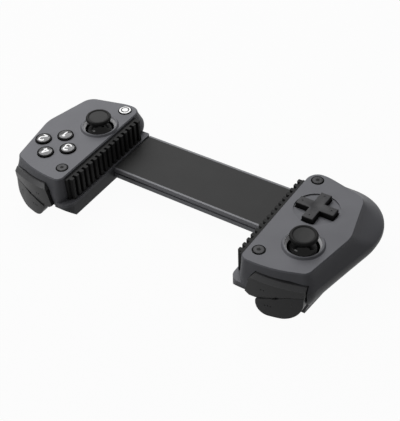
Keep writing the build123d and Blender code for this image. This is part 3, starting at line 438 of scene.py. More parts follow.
def shader_mix(tree: Tree, share: Socket, first: bpy.types.Node, second: bpy.types.Node) -> Socket:
    """Adds a Mix Shader node that goes from one shader to another.

    Args:
        tree: the node tree.
        share: socket of the second shader's share.
        first: the shader node at share 0.
        second: the shader node at share 1.

    Returns:
        The socket of the mixed shader.
    """
    node = tree.nodes.new("ShaderNodeMixShader")
    for place, socket in enumerate((share, first.outputs[0], second.outputs[0])):
        tree.links.new(socket, node.inputs[place])
    return node.outputs[0]


def grain_group() -> Tree:
    """Spark-eroded moulding grain: fine noise for the bump and the gloss, wide noise for uneven tone.

    Returns:
        The group.
    """
    tree = new_group("moulding_grain", {"Fineness": 2500.0, "Width": 60.0}, ["Grain", "Cloud"])
    start, stop = ends(tree)
    place = tree.nodes.new("ShaderNodeTexCoord")
    for scale, output, detail, roughness in GRAIN_LAYERS:
        noise = tree.nodes.new("ShaderNodeTexNoise")
        noise.inputs["Detail"].default_value = detail
        noise.inputs["Roughness"].default_value = roughness
        tree.links.new(place.outputs["Object"], noise.inputs["Vector"])
        tree.links.new(start.outputs[scale], noise.inputs["Scale"])
        tree.links.new(noise.outputs["Fac"], stop.inputs[output])
    return tree


def edge_group() -> Tree:
    """Edges for the painted highlight: how far a rounded normal turns away from the face's own, as a mask.

    Returns:
        The group.
    """
    tree = new_group("handled_edge", {"Gain": 3.0}, ["Edge"])
    start, stop = ends(tree)
    bevel = tree.nodes.new("ShaderNodeBevel")
    bevel.samples = EDGE_SAMPLES
    bevel.inputs["Radius"].default_value = EDGE_RADIUS
    face = tree.nodes.new("ShaderNodeNewGeometry")
    dot = tree.nodes.new("ShaderNodeVectorMath")
    dot.operation = "DOT_PRODUCT"
    tree.links.new(bevel.outputs["Normal"], dot.inputs[0])
    tree.links.new(face.outputs["Normal"], dot.inputs[1])
    turned = math_node(tree, "SUBTRACT", 1.0, dot.outputs["Value"])
    mask = math_node(tree, "MULTIPLY", turned, start.outputs["Gain"])
    tree.links.new(math_node(tree, "MINIMUM", mask, 1.0), stop.inputs["Edge"])
    return tree


def rim_group() -> Tree:
    """Mask that is 0 inside a circle about the vector's origin and 1 outside it.

    Returns:
        The group.
    """
    tree = new_group("rim_mask", {"Place": (0.0, 0.0, 0.0), "Radius": 0.004, "Blur": 0.0003}, ["Outside"])
    start, stop = ends(tree)
    flat = tree.nodes.new("ShaderNodeVectorMath")
    flat.operation = "MULTIPLY"
    flat.inputs[1].default_value = (1.0, 1.0, 0.0)
    tree.links.new(start.outputs["Place"], flat.inputs[0])
    length = tree.nodes.new("ShaderNodeVectorMath")
    length.operation = "LENGTH"
    tree.links.new(flat.outputs[0], length.inputs[0])
    past = math_node(tree, "SUBTRACT", length.outputs["Value"], start.outputs["Radius"])
    ramp = math_node(tree, "DIVIDE", past, start.outputs["Blur"])
    low = math_node(tree, "MAXIMUM", ramp, 0.0)
    tree.links.new(math_node(tree, "MINIMUM", low, 1.0), stop.inputs["Outside"])
    return tree


@dataclass
class SharedEffects:
    """The shader groups that the finishes place in their materials."""

    grain: Tree = field(default_factory=grain_group)
    edge: Tree = field(default_factory=edge_group)
    rim: Tree = field(default_factory=rim_group)


# Finishes


@dataclass(frozen=True)
class Finish:
    """A surface finish: colour, gloss and grain, with a painted highlight along its edges.

    The spreads are how far gloss and tone go to either side of their values, and the grain's depth
    is in millimetres. An edge's painted highlight is its colour times the gain, plus the lift.
    """

    name: str
    colour: Colour
    roughness: float
    gloss_spread: float = 0.06
    tone_spread: float = 0.10
    fineness: float = 2600.0
    grain_depth: float = 0.012
    edge_gain: float = 2.0
    handled_gain: float = 1.5
    handled_lift: float = 0.01
    metallic: float = 0.0
    specular: float = 0.5
    coat: float = 0.0
    coat_roughness: float = 0.08

    def base_nodes(self, tree: Tree, effects: SharedEffects) -> tuple[Socket, Socket, Socket]:
        """Adds the grain and edge groups and the colour and gloss that they drive.

        Args:
            tree: the material's node tree.
            effects: the shared groups.

        Returns:
            The colour socket, the roughness socket and the normal socket.
        """
        grain = placed_group(tree, effects.grain, {"Fineness": self.fineness})
        edge = placed_group(tree, effects.edge, {"Gain": self.edge_gain})
        dark = tuple(part * (1 - self.tone_spread) for part in self.colour)
        light = tuple(part * (1 + self.tone_spread) for part in self.colour)
        tone = colour_mix(tree, grain.outputs["Cloud"], dark, light)
        # Painted highlight: edges are painted lighter than the face.
        painted_highlight = tuple(min(1.0, part * self.handled_gain + self.handled_lift) for part in self.colour)
        colour = colour_mix(tree, edge.outputs["Edge"], tone, painted_highlight)
        gloss = tree.nodes.new("ShaderNodeMapRange")
        gloss.inputs["To Min"].default_value = self.roughness - self.gloss_spread
        gloss.inputs["To Max"].default_value = self.roughness + self.gloss_spread
        tree.links.new(grain.outputs["Grain"], gloss.inputs["Value"])
        bump = tree.nodes.new("ShaderNodeBump")
        bump.inputs["Strength"].default_value = 1.0
        bump.inputs["Distance"].default_value = self.grain_depth * MM
        tree.links.new(grain.outputs["Grain"], bump.inputs["Height"])
        return colour, gloss.outputs["Result"], bump.outputs["Normal"]

    def material(self, effects: SharedEffects) -> bpy.types.Material:
        """Builds the material, or returns it if it is there already.

        Args:
            effects: the shared groups.

        Returns:
            The material.
        """
        if self.name in bpy.data.materials:
            return bpy.data.materials[self.name]
        made = bpy.data.materials.new(self.name)
        made.use_nodes = True
        tree = made.node_tree
        shader = tree.nodes["Principled BSDF"]
        shader.inputs["Metallic"].default_value = self.metallic
        shader.inputs["Specular IOR Level"].default_value = self.specular
        shader.inputs["Coat Weight"].default_value = self.coat
        shader.inputs["Coat Roughness"].default_value = self.coat_roughness
        for title, socket in zip(("Base Color", "Roughness", "Normal"), self.base_nodes(tree, effects)):
            tree.links.new(socket, shader.inputs[title])
        return made


@dataclass(frozen=True)
class WalledFinish(Finish):
    """A finish with painted shade: its walls are painted darker than the faces that look up.

    The wall's colour, which is painted shade, holds up to one height of the normal, and the face's colour
    from another.
    """

    wall: Colour = (0.05, 0.05, 0.05)
    steep_from: float = 0.86
    flat_from: float = 0.97

    def base_nodes(self, tree: Tree, effects: SharedEffects) -> tuple[Socket, Socket, Socket]:
        """Adds the walls' painted shade to the plain finish, by the height of the normal.

        Args:
            tree: the material's node tree.
            effects: the shared groups.

        Returns:
            The colour socket, the roughness socket and the normal socket.
        """
        colour, gloss, normal = super().base_nodes(tree, effects)
        place = tree.nodes.new("ShaderNodeTexCoord")
        parts = tree.nodes.new("ShaderNodeSeparateXYZ")
        tree.links.new(place.outputs["Normal"], parts.inputs[0])
        flat = tree.nodes.new("ShaderNodeMapRange")
        flat.interpolation_type = "SMOOTHSTEP"
        flat.inputs["From Min"].default_value = self.steep_from
        flat.inputs["From Max"].default_value = self.flat_from
        tree.links.new(parts.outputs["Z"], flat.inputs["Value"])
        # Painted shade: as the normal leans away from straight up, the colour goes to the darker wall
        # colour.
        return colour_mix(tree, flat.outputs["Result"], self.wall, colour), gloss, normal


@dataclass(frozen=True)
class RimmedFinish(Finish):
    """A finish that takes another colour beyond a circle: painted shade of the gap round a button, or a
    plain colour round the stick's ring and beyond the cap's dish.

    The circle stands about the middle of a CAD node, and its radius is in millimetres.
    """

    node: str = ""
    rim_radius: float = 4.0
    # The default rim is painted shade of the gap round a button: near black, with little reflection.
    rim_colour: Colour = (0.003, 0.003, 0.003)
    rim_specular: float = 0.02

    def base_nodes(self, tree: Tree, effects: SharedEffects) -> tuple[Socket, Socket, Socket]:
        """Adds the rim's colour to the plain finish.

        Args:
            tree: the material's node tree.
            effects: the shared groups.

        Returns:
            The colour socket, the roughness socket and the normal socket.
        """
        colour, gloss, normal = super().base_nodes(tree, effects)
        place = tree.nodes.new("ShaderNodeTexCoord")
        centred = tree.nodes.new("ShaderNodeMapping")
        middle = centre_of(self.node)
        centred.inputs["Location"].default_value = (-middle[0], -middle[1], 0.0)
        tree.links.new(place.outputs["Object"], centred.inputs["Vector"])
        rim = placed_group(tree, effects.rim, {"Radius": self.rim_radius * MM})
        rim.name = "rim"
        tree.links.new(centred.outputs["Vector"], rim.inputs["Place"])
        return colour_mix(tree, rim.outputs["Outside"], colour, self.rim_colour), gloss, normal

    def material(self, effects: SharedEffects) -> bpy.types.Material:
        """Builds the material and fades its metal, gloss coat and reflection out beyond the circle, which on
        a button is painted shade of the gap.

        Args:
            effects: the shared groups.

        Returns:
            The material.
        """
        fresh = self.name not in bpy.data.materials
        made = super().material(effects)
        if not fresh:
            return made
        tree = made.node_tree
        shader = tree.nodes["Principled BSDF"]
        inside = math_node(tree, "SUBTRACT", 1.0, tree.nodes["rim"].outputs["Outside"])
        rows = (
            ("Metallic", self.metallic, 0.0),
            ("Coat Weight", self.coat, 0.0),
            ("Specular IOR Level", self.specular, self.rim_specular),
        )
        for title, within, beyond in rows:
            faded = math_node(tree, "MULTIPLY", inside, within - beyond)
            tree.links.new(math_node(tree, "ADD", faded, beyond), shader.inputs[title])
        return made


@dataclass(frozen=True)
class Palette:
    """The finishes of the object; some have painted shade on their walls, and most a painted highlight along
    their edges.
    """

    # Painted shade: the shell's walls are painted darker than its face.
    shell: Finish = WalledFinish(
        "shell_grey", (0.118, 0.119, 0.130), 0.50, specular=0.14, wall=(0.084, 0.085, 0.093)
    )
    # Painted shade: the rear shell's walls are painted darker than its upward faces.
    rear: Finish = WalledFinish(
        "rear_grey", (0.112, 0.113, 0.123), 0.46, specular=0.14, wall=(0.052, 0.053, 0.057)
    )
    channel: Finish = Finish("channel_grey", (0.130, 0.131, 0.142), 0.42, specular=0.25)
    deck: Finish = Finish("deck_dark", (0.031, 0.031, 0.031), 0.60, grain_depth=0.02, specular=0.09)
    # Painted shade on the walls, lit top facets, and a stronger painted highlight along the edges.
    shoulder: Finish = WalledFinish(
        "shoulder_dark",
        (0.060, 0.060, 0.062),
        0.34,
        specular=0.18,
        edge_gain=5.0,
        wall=(0.023, 0.023, 0.024),
        steep_from=0.30,
        flat_from=0.75,
    )
    # Painted shade: the cross's walls are painted near black.
    cross: Finish = WalledFinish(
        "cross_dark",
        (0.032, 0.032, 0.034),
        0.40,
        specular=0.11,
        wall=(0.006, 0.006, 0.006),
        steep_from=0.5,
        flat_from=0.9,
    )
    pad: Finish = Finish(
        "pad_rubber", (0.008, 0.008, 0.008), 0.62, fineness=1800.0, grain_depth=0.03, specular=0.12
    )
    cap: Finish = Finish(
        "cap_rubber", (0.010, 0.010, 0.010), 0.50, fineness=2000.0, grain_depth=0.02, specular=0.10
    )
    dome: Finish = Finish(
        "dome_gloss",
        (0.002, 0.002, 0.002),
        0.08,
        specular=0.16,
        grain_depth=0.0,
        gloss_spread=0.01,
        edge_gain=0.0,
    )
    ink: Finish = Finish("mark_white", (0.80, 0.80, 0.80), 0.40, tone_spread=0.02, grain_depth=0.002)
    faint: Finish = Finish("mark_faint", (0.007, 0.007, 0.007), 0.45, tone_spread=0.05, specular=0.06)
    steel: Finish = Finish("turned_steel", (0.55, 0.55, 0.56), 0.32, metallic=1.0, tone_spread=0.06)
    slide: Finish = Finish("drawn_steel", (0.20, 0.20, 0.205), 0.52, metallic=1.0, tone_spread=0.08)
    glide: Finish = Finish("glide_white", (0.70, 0.70, 0.68), 0.40)
    nylon: Finish = Finish("nylon_dark", (0.025, 0.025, 0.025), 0.45, specular=0.2)
    circuit: Finish = Finish("circuit_green", (0.012, 0.060, 0.028), 0.35)
    film: Finish = Finish("cable_film", (0.20, 0.09, 0.025), 0.38, specular=0.2)
    foil: Finish = Finish("cell_foil", (0.55, 0.55, 0.56), 0.30, metallic=1.0)


# Sub-assemblies


@dataclass
class SubAssembly:
    """Some pieces of the object, with the finishes and shader groups that dress them."""

    palette: Palette
    effects: SharedEffects

    def dress(self, piece: bpy.types.Object, finish: Finish) -> None:
        """Gives a piece one material in place of any that it has."""
        piece.data.materials.clear()
        piece.data.materials.append(finish.material(self.effects))


@dataclass
class CarriedNodes(SubAssembly):
    """CAD nodes whose shape is right, shown as welded copies with smooth curves.

    The rims are the circles, in millimetres, beyond which the stick's wear ring turns into plain shell
    plastic, and the home button and the small buttons turn into painted shade of the gap round them.
    """

    sharp: float = 24.0
    ring_rim: float = 10.45
    home_rim: float = 3.75
    small_rim: float = 2.95

    def plain_finishes(self) -> dict[str, Finish]:
        """Finish of every node that has one of the palette's finishes.

        Returns:
            Node name to finish.
        """
        palette = self.palette
        paired = {
            "front_shell": palette.shell,
            "rear_shell": palette.rear,
            "phone_pad": palette.pad,
            "board": palette.circuit,
            "contact_sheet": palette.cap,
            "stick_base": palette.steel,
            "stick_yoke": palette.nylon,
            "stick_rocker": palette.glide,
            "bumper": palette.shoulder,
            "bumper_pin": palette.steel,
            "trigger": palette.shoulder,
            "trigger_pin": palette.steel,
            "trigger_spring": palette.steel,
            "case_screws": palette.steel,
        }
        single = {
            "dpad": palette.cross,
            "dpad_ball": palette.steel,
            "dpad_post": palette.nylon,
            "battery": palette.foil,
            "bridge_channel": palette.channel,
            "bridge_skin": palette.deck,
            "slide_plate": palette.slide,
            "glide_strips": palette.glide,
            "pull_springs": palette.steel,
            "bridge_cable": palette.film,
            "slide_cable": palette.film,
            "bridge_screws": palette.steel,
            "plate_screws": palette.steel,
        }
        both = {f"{side.word}_{part}": finish for side in Side for part, finish in paired.items()}
        return {**both, **single}

    def rimmed_finishes(self) -> dict[str, Finish]:
        """Finish of every node whose own look ends at a circle.

        Returns:
            Node name to finish.
        """
        # The ring is near white and barely metallic: partly the silver ring's own light colour, partly a
        # painted reflection in place of its bright glints.
        rings = {
            node: RimmedFinish(
                f"{node}_metal",
                (0.82, 0.82, 0.83),
                0.34,
                metallic=0.1,
                tone_spread=0.04,
                gloss_spread=0.02,
                grain_depth=0.001,
                edge_gain=0.0,
                node=node,
                rim_radius=self.ring_rim,
                rim_colour=self.palette.shell.colour,
                rim_specular=0.2,
            )
            for node in (f"{side.word}_stick_ring" for side in Side)
        }
        # Beyond home_rim the button is painted near black: painted shade of the gap round it.
        home = RimmedFinish(
            "home_white",
            (0.78, 0.78, 0.78),
            0.28,
            tone_spread=0.02,
            grain_depth=0.002,
            edge_gain=0.0,
            node="home_button",
            rim_radius=self.home_rim,
        )
        # Beyond small_rim each button is painted near black: painted shade of the gap round it.
        small = {
            node: RimmedFinish(
                f"{node}_grey",
                (0.031, 0.031, 0.033),
                0.36,
                specular=0.12,
                node=node,
                rim_radius=self.small_rim,
            )
            for node in SMALL_BUTTONS
        }
        return {**rings, "home_button": home, **small}

    def build(self) -> None:
        """Shows each node with its finish."""
        finishes = {**self.plain_finishes(), **self.rimmed_finishes()}
        for node, finish in finishes.items():
            copy = welded_copy(node, self.sharp)
            self.dress(copy, finish)
            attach(copy, body_of_node(node))
        LOG.info("carried over %d nodes", len(finishes))


@dataclass
class Thumbstick(SubAssembly):
    """Stick of one half: rubber cap with a dished top, flared neck and glossy dust dome.

    Sizes are in millimetres, and heights are counted from the frame's origin. The cap's section
    holds the radius, height and rounding of each corner, from the middle of the hollow underside
    over the collar, the waisted wall, the rim and its step to the middle of the shallow dish.
    """

    side: Side
    segments: int = 96
    sharp: float = 35.0
    pivot_height: float = 10.2
    dome_radius: float = 10.8
    dome_wall: float = 0.9
    dome_rim: float = 15.6
    dome_steps: int = 14
    lining_steps: int = 10
    post_radius: float = 1.5
    post_foot: float = 5.2
    post_drop: float = 0.12
    neck_foot: float = 6.6
    neck_waist: float = 4.7
    neck_top: float = 24.7
    flare_power: float = 2.2
    flare_steps: int = 8
    dish_radius: float = 5.9
    cap_section: tuple[Corner, ...] = (
        (0.0, 24.75, 0.0),
        (5.3, 24.75, 0.2),
        (5.5, 23.1, 0.15),
        (6.1, 23.1, 0.2),
        (6.5, 24.45, 0.3),
        (8.15, 24.9, 0.35),
        (8.5, 26.3, 0.6),
        (7.75, 27.4, 0.5),
        (6.6, 27.38, 0.25),
        (6.15, 26.95, 0.25),
        (2.8, 26.72, 0.6),
        (0.0, 26.7, 0.0),
    )

    def arc(self, radius: float, angles: np.ndarray) -> np.ndarray:
        """Points (r cos t, p + r sin t) of a circle about the pivot p, for the angles t."""
        return np.stack([radius * np.cos(angles), self.pivot_height + radius * np.sin(angles)], axis=-1)

    def dome_profile(self) -> np.ndarray:
        """Profile of the dome with its neck: inner post, lining, outside of the dome and flare.

        The lining and the outside are arcs about the pivot, from the rim's height up. At the share
        s of its height the flare's radius is w + (f - w) (1 - s)^p, with the radii w and f of the
        neck's waist and foot and the power p.

        Returns:
            Array of (radius, height) rows in metres.
        """
        ball, lining = self.dome_radius, self.dome_radius - self.dome_wall
        rim = np.arcsin((self.dome_rim - self.pivot_height) / ball)
        lining_rim = np.arcsin((self.dome_rim - self.pivot_height) / lining)
        outer = self.arc(ball, np.linspace(rim, np.arccos(self.neck_foot / ball), self.dome_steps))
        inner = self.arc(lining, np.linspace(pi / 2, lining_rim, self.lining_steps)[1:])
        low, wide = self.post_foot, self.post_radius
        post = np.array([[0.0, low], [wide, low], [wide, self.pivot_height + lining - self.post_drop]])
        foot, top = outer[-1], self.neck_top
        share = np.linspace(0.0, 1.0, self.flare_steps)[1:]
        flare_radius = self.neck_waist + (foot[0] - self.neck_waist) * (1 - share) ** self.flare_power
        flare = np.stack([flare_radius, foot[1] + (top - foot[1]) * share], axis=-1)
        end = np.array([[0.0, top]])
        return np.concatenate([post, inner, outer, flare, end]) * MM

    def build(self) -> None:
        """Makes the cap and the dome in place of their CAD nodes."""
        cap = f"{self.side.word}_stick_cap"
        dish = RimmedFinish(
            f"{self.side.word}_cap_rubber",
            (0.026, 0.026, 0.026),
            0.44,
            fineness=2000.0,
            grain_depth=0.02,
            specular=0.07,
            node=cap,
            rim_radius=self.dish_radius,
            rim_colour=self.palette.cap.colour,
            rim_specular=0.05,
        )
        rows = (
            ("stick_cap", rounded_path(self.cap_section) * MM, dish, "grip_rubber"),
            ("stick_skirt", self.dome_profile(), self.palette.dome, "black_gloss"),
        )
        for part, profile, finish, slot in rows:
            node = f"{self.side.word}_{part}"
            vertices, faces = turned_surface(profile, centre_of(cap), self.segments, closed=False)
            piece = made_object(f"{node}_turned", vertices, faces, self.sharp)
            self.dress(piece, finish)
            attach(piece, f"{self.side.word}_stick")
            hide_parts(node)
        LOG.info("%s stick turned", self.side.word)


@dataclass
class DomeNumerals:
    """Plain numbers drawn with a round pen and laid on a button's dome.

    Sizes are in millimetres. The two rows of shares give a ribbon's section: half widths across
    the stroke, and rises above or sinks below the dome.
    """

    height: float = 5.4
    pen: float = 1.15
    rise: float = 0.05
    sink: float = 0.12
    cuts: int = 3
    steps: int = 40
    end_share: float = 0.02
    sharp: float = 50.0
    across_shares: tuple[float, ...] = (-1.0, -0.9, -0.4, 0.4, 0.9, 1.0, 1.0, 0.0, -1.0)
    lift_shares: tuple[float, ...] = (-0.2, 0.7, 1.0, 1.0, 0.7, -0.2, -1.0, -1.0, -1.0)

    def pen_path(self, points: Stroke) -> np.ndarray:
        """Smooths a stroke by cutting its corners several times and spaces its points evenly.

        Each cut puts points a quarter and three quarters of the way along every run, and keeps the
        two ends.

        Args:
            points: the stroke's corners as shares of the number's height.

        Returns:
            Array of (x, y) rows in millimetres.
        """
        path = np.array(points) * self.height
        for _ in range(self.cuts):
            quarter = 0.75 * path[:-1] + 0.25 * path[1:]
            three = 0.25 * path[:-1] + 0.75 * path[1:]
            cut = np.stack([quarter, three], axis=1).reshape(-1, 2)
            path = np.concatenate([path[:1], cut, path[-1:]])
        run = distance_along(path)
        even = np.linspace(0.0, run[-1], self.steps)
        return np.stack([np.interp(even, run, path[:, 0]), np.interp(even, run, path[:, 1])], axis=-1)

    def ribbon(self, points: Stroke, top: Point, ball: float) -> Mesh:
        """Ribbon of one stroke on a ball whose top is given.

        At a distance s from an end the half width is w sqrt(1 - (1 - s/w)^2) up to s = w, so the
        ends are round. A point at distance d from the ball's line lies b - sqrt(b^2 - d^2) below
        its top, plus the rise or less the sink.

        Args:
            points: the stroke's corners.
            top: the ball's top, in metres.
            ball: the ball's radius in millimetres.

        Returns:
            The vertices in metres and the faces, with the two ends closed.
        """
        path = self.pen_path(points)
        along = np.gradient(path, axis=0)
        along /= np.linalg.norm(along, axis=1, keepdims=True)
        across = np.stack([-along[:, 1], along[:, 0]], axis=-1)
        run = distance_along(path)
        half = self.pen / 2
        near = np.minimum(np.minimum(run, run[-1] - run) + self.end_share * half, half) / half
        width = half * np.sqrt(1.0 - (1.0 - near) ** 2)
        share, lift = np.array(self.across_shares), np.array(self.lift_shares)
        flat = path[:, None, :] + across[:, None, :] * (width[:, None, None] * share[None, :, None])
        drop = ball - np.sqrt(ball**2 - (flat**2).sum(axis=-1))
        height = lift * np.where(lift > 0, self.rise, self.sink) - drop
        grid = np.concatenate([flat, height[..., None]], axis=-1).reshape(-1, 3) * MM
        quads = grid_quads(self.steps, len(share), False)[:, ::-1].tolist()
        first = list(range(len(share)))
        last = [len(grid) - 1 - corner for corner in first]
        return grid + np.array(top), [*quads, first, last]

    def build(self, name: str, mark: Mark, top: Point, ball: float) -> bpy.types.Object:
        """Makes a number as one object.

        Args:
            name: the object's name.
            mark: the number.
            top: the dome's top, in metres.
            ball: the dome's ball radius in millimetres.

        Returns:
            The object.
        """
        vertices, faces = joined([self.ribbon(points, top, ball) for points in MARK_STROKES[mark]])
        return made_object(name, vertices, faces, self.sharp)


@dataclass
class FaceButtons(SubAssembly):
    """Four domed buttons, each with a plain number laid on its dome. Sizes are in millimetres."""

    radius: float = 5.25
    crown: float = 0.7
    rim: float = 4.1
    sharp: float = 30.0

    def build(self) -> None:
        """Shows the buttons with dark rims of painted shade where the gap round each lies, and adds their
        numbers.
        """
        numerals = DomeNumerals()
        for node, mark in BUTTON_MARKS.items():
            # Beyond the rim each button is painted near black: painted shade of the gap round it.
            finish = RimmedFinish(
                f"{node}_gloss",
                (0.035, 0.035, 0.037),
                0.18,
                grain_depth=0.002,
                specular=0.25,
                coat=0.2,
                node=node,
                rim_radius=self.rim,
            )
            cap = welded_copy(node, self.sharp)
            self.dress(cap, finish)
            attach(cap, f"{node}_press")
            ball = ball_radius(self.radius, self.crown)
            number = numerals.build(f"{node}_number", mark, top_of(node), ball)
            self.dress(number, self.palette.ink)
            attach(number, f"{node}_press")
            LOG.info("%s carries number %s", node, mark.value)


@dataclass
class HomeMark(SubAssembly):
    """Plain dark ring let into the home button's white top. Sizes are in millimetres."""

    radius: float = 2.5
    width: float = 0.8
    rise: float = 0.04
    sink: float = 0.1
    crown: float = 0.3
    button_radius: float = 4.45
    segments: int = 64
    sharp: float = 30.0

    def section(self) -> np.ndarray:
        """Closed section of the ring, whose foot and top follow the button's dome.

        At the radius r the dome lies b - sqrt(b^2 - r^2) below its top, with b the ball's radius.

        Returns:
            Array of (radius, height) rows in metres, with the dome's top at height 0.
        """
        ball = ball_radius(self.button_radius, self.crown)
        radius = np.array([self.radius - self.width / 2, self.radius + self.width / 2])
        drop = ball - np.sqrt(ball**2 - radius**2)
        foot = np.stack([radius, -drop - self.sink], axis=-1)
        top = np.stack([radius, -drop + self.rise], axis=-1)
        return np.concatenate([foot, top[::-1]]) * MM

    def build(self) -> None:
        """Makes the ring."""
        vertices, faces = turned_surface(self.section(), top_of("home_button"), self.segments, closed=True)
        piece = made_object("home_ring_mark", vertices, faces, self.sharp)
        self.dress(piece, self.palette.nylon)
        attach(piece, "home_button_press")
        LOG.info("home button carries a plain ring")


@dataclass
class ButtonDot(SubAssembly):
    """Round dot at the middle of a small button's crown, where the real one carries a sign.

    Sizes are in millimetres. The rise and the sink are counted from a seat just below the crown.
    """

    node: str
    radius: float = 1.2
    rise: float = 0.06
    sink: float = 0.15
    seat: float = 0.02
    sharp: float = 40.0

    def build(self) -> None:
        """Makes the dot."""
        top = top_of(self.node)
        spot = (top[0], top[1], top[2] - self.seat * MM)
        profile = dot_profile(self.radius, self.rise, self.sink)
        vertices, faces = turned_surface(profile, spot, DOT_SEGMENTS, closed=False)
        piece = made_object(f"{self.node}_dots", vertices, faces, self.sharp)
        self.dress(piece, self.palette.faint)
        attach(piece, f"{self.node}_press")
        LOG.info("%s carries a dot", self.node)


@dataclass
class ShoulderDots(SubAssembly):
    """Small raised dots on a shoulder button, standing square to its surface.

    Sizes are in millimetres. The reach is how far the first dot lies outside the phone bay's wall,
    and a ray that starts well in front of the button finds the surface at each dot.
    """

    side: Side
    part: str
    body: str
    reach: float
    height: float
    count: int
    pitch: float = 1.7
    radius: float = 0.42
    rise: float = 0.10
    sink: float = 0.2
    bay_half: float = 65.0
    ray_from: float = 200.0
    sharp: float = 40.0

    def build(self) -> None:
        """Finds each dot's place by a ray against the button and turns the dot to the surface."""
        node = f"{self.side.word}_{self.part}"
        shown = bpy.data.objects[f"{node}_shown"]
        tree = BVHTree.FromObject(shown, bpy.context.evaluated_depsgraph_get())
        profile = dot_profile(self.radius, self.rise, self.sink)
        disc, disc_faces = turned_surface(profile, (0.0, 0.0, 0.0), DOT_SEGMENTS, closed=False)
        parts = []
        for step in range(self.count):
            x = self.side.value * (self.bay_half + self.reach + step * self.pitch)
            start = Vector((x, self.ray_from, self.height)) * MM
            spot, normal, _, _ = tree.ray_cast(start, Vector((0.0, -1.0, 0.0)))
            turn = np.array(Vector((0.0, 0.0, 1.0)).rotation_difference(normal).to_matrix())
            parts.append((disc @ turn.T + np.array(spot), disc_faces))
        vertices, faces = joined(parts)
        piece = made_object(f"{node}_dots", vertices, faces, self.sharp)
        self.dress(piece, self.palette.faint)
        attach(piece, f"{self.side.word}_{self.body}")
        LOG.info("%s carries %d dots", node, self.count)


@dataclass(frozen=True)
class Lamp:
    """Rectangular area lamp that faces the origin, with place and size in metres and power in watts."""

    name: str
    place: Point
    size: tuple[float, float]
    power: float

    def hang(self) -> None:
        """Adds the lamp to the scene."""
        data = bpy.data.lights.new(self.name, "AREA")
        data.shape = "RECTANGLE"
        data.size, data.size_y = self.size
        data.energy = self.power
        lamp = bpy.data.objects.new(self.name, data)
        bpy.context.scene.collection.objects.link(lamp)
        lamp.location = self.place
        lamp.rotation_mode = "QUATERNION"
        lamp.rotation_quaternion = Vector(self.place).to_track_quat("Z", "Y")


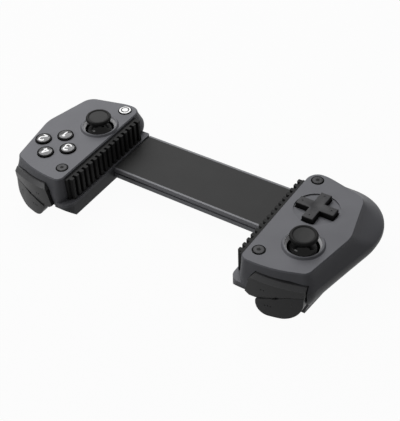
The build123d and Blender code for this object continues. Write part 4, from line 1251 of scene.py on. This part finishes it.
@dataclass
class Studio:
    """Pale floor, soft lights and the camera at the photograph's place.

    Places, sizes and reaches are in metres and angles in degrees. The lens, the sensor and the
    floor's gap to the object are in millimetres.
    """

    camera_at: Point = (-0.267888, 0.391748, 0.395594)
    azimuth: float = 214.963
    elevation: float = 41.613
    roll: float = -2.925
    lens: float = 81.72
    sensor: float = 36.0
    clip: tuple[float, float] = (0.05, 20.0)
    floor_reach: float = 4.0
    floor_gap: float = 0.02
    floor_white: float = 0.30
    floor_roughness: float = 0.9
    floor_lift: float = 0.96
    ambient: float = 0.13
    lamps: tuple[Lamp, ...] = (
        Lamp("key_above", place=(0.42, -0.33, 0.80), size=(0.8, 0.8), power=10.7),
        Lamp("spark_front", place=(0.60, 0.80, 0.43), size=(0.52, 0.30), power=3.0),
    )

    def camera(self) -> None:
        """Sets up the camera from its place, its two angles and its roll."""
        data = bpy.data.cameras.new("photograph_view")
        data.lens = self.lens
        data.sensor_width = self.sensor
        data.clip_start, data.clip_end = self.clip
        view = bpy.data.objects.new("photograph_view", data)
        bpy.context.scene.collection.objects.link(view)
        a, e = radians(self.azimuth), radians(self.elevation)
        back = Vector((sin(a) * cos(e), -cos(a) * cos(e), sin(e)))
        level = back.to_track_quat("Z", "Y")
        view.rotation_mode = "QUATERNION"
        view.location = self.camera_at
        view.rotation_quaternion = level @ Quaternion((0.0, 0.0, 1.0), radians(self.roll))
        bpy.context.scene.camera = view

    def seen_white(self, tree: Tree) -> Socket:
        """Factor that is 1 for rays from the camera, mirrors and glass.

        Args:
            tree: the node tree.

        Returns:
            The factor's socket.
        """
        path = tree.nodes.new("ShaderNodeLightPath")
        first = math_node(tree, "MAXIMUM", path.outputs["Is Camera Ray"], path.outputs["Is Glossy Ray"])
        return math_node(tree, "MAXIMUM", first, path.outputs["Is Transmission Ray"])

    def world(self) -> None:
        """White to the camera, an even soft light to the object."""
        world = bpy.data.worlds.new("studio")
        bpy.context.scene.world = world
        world.use_nodes = True
        tree = world.node_tree
        soft = tree.nodes["Background"]
        soft.inputs["Color"].default_value = WHITE
        soft.inputs["Strength"].default_value = self.ambient
        white = tree.nodes.new("ShaderNodeBackground")
        white.inputs["Color"].default_value = WHITE
        mixed = shader_mix(tree, self.seen_white(tree), soft, white)
        tree.links.new(mixed, tree.nodes["World Output"].inputs["Surface"])

    def floor(self) -> None:
        """Pale floor under the object, lifted towards white where the camera sees it."""
        reach, height = self.floor_reach, CAD_BOX[0][2] - self.floor_gap * MM
        plan = ((-reach, -reach), (reach, -reach), (reach, reach), (-reach, reach))
        corners = np.array([(x, y, height) for x, y in plan])
        piece = made_object("studio_floor", corners, [[0, 1, 2, 3]], sharp=30.0)
        paint = bpy.data.materials.new("floor_white")
        paint.use_nodes = True
        tree = paint.node_tree
        shader = tree.nodes["Principled BSDF"]
        shader.inputs["Base Color"].default_value = (*[self.floor_white] * 3, 1.0)
        shader.inputs["Roughness"].default_value = self.floor_roughness
        glow = tree.nodes.new("ShaderNodeEmission")
        glow.inputs["Color"].default_value = WHITE
        share = math_node(tree, "MULTIPLY", self.seen_white(tree), self.floor_lift)
        mixed = shader_mix(tree, share, shader, glow)
        tree.links.new(mixed, tree.nodes["Material Output"].inputs["Surface"])
        piece.data.materials.append(paint)

    def build(self) -> None:
        """Builds the camera, the world, the floor and the lamps."""
        bpy.context.scene.view_settings.view_transform = "Standard"
        self.camera()
        self.world()
        self.floor()
        for lamp in self.lamps:
            lamp.hang()
        LOG.info("studio set")


def main() -> None:
    """Builds the studio and dresses the controller, sub-assembly by sub-assembly."""
    logging.basicConfig(level=logging.INFO, format="%(message)s")
    palette, effects = Palette(), SharedEffects()
    Studio().build()
    CarriedNodes(palette, effects).build()
    for side in Side:
        Thumbstick(palette, effects, side).build()
    FaceButtons(palette, effects).build()
    HomeMark(palette, effects).build()
    for node in SMALL_BUTTONS:
        ButtonDot(palette, effects, node).build()
    for side in Side:
        shared = (palette, effects, side)
        ShoulderDots(*shared, "bumper", "upper_shoulder", reach=16.5, height=4.5, count=2).build()
        ShoulderDots(*shared, "trigger", "lower_shoulder", reach=19.5, height=-6.0, count=3).build()


if __name__ == "__main__":
    main()
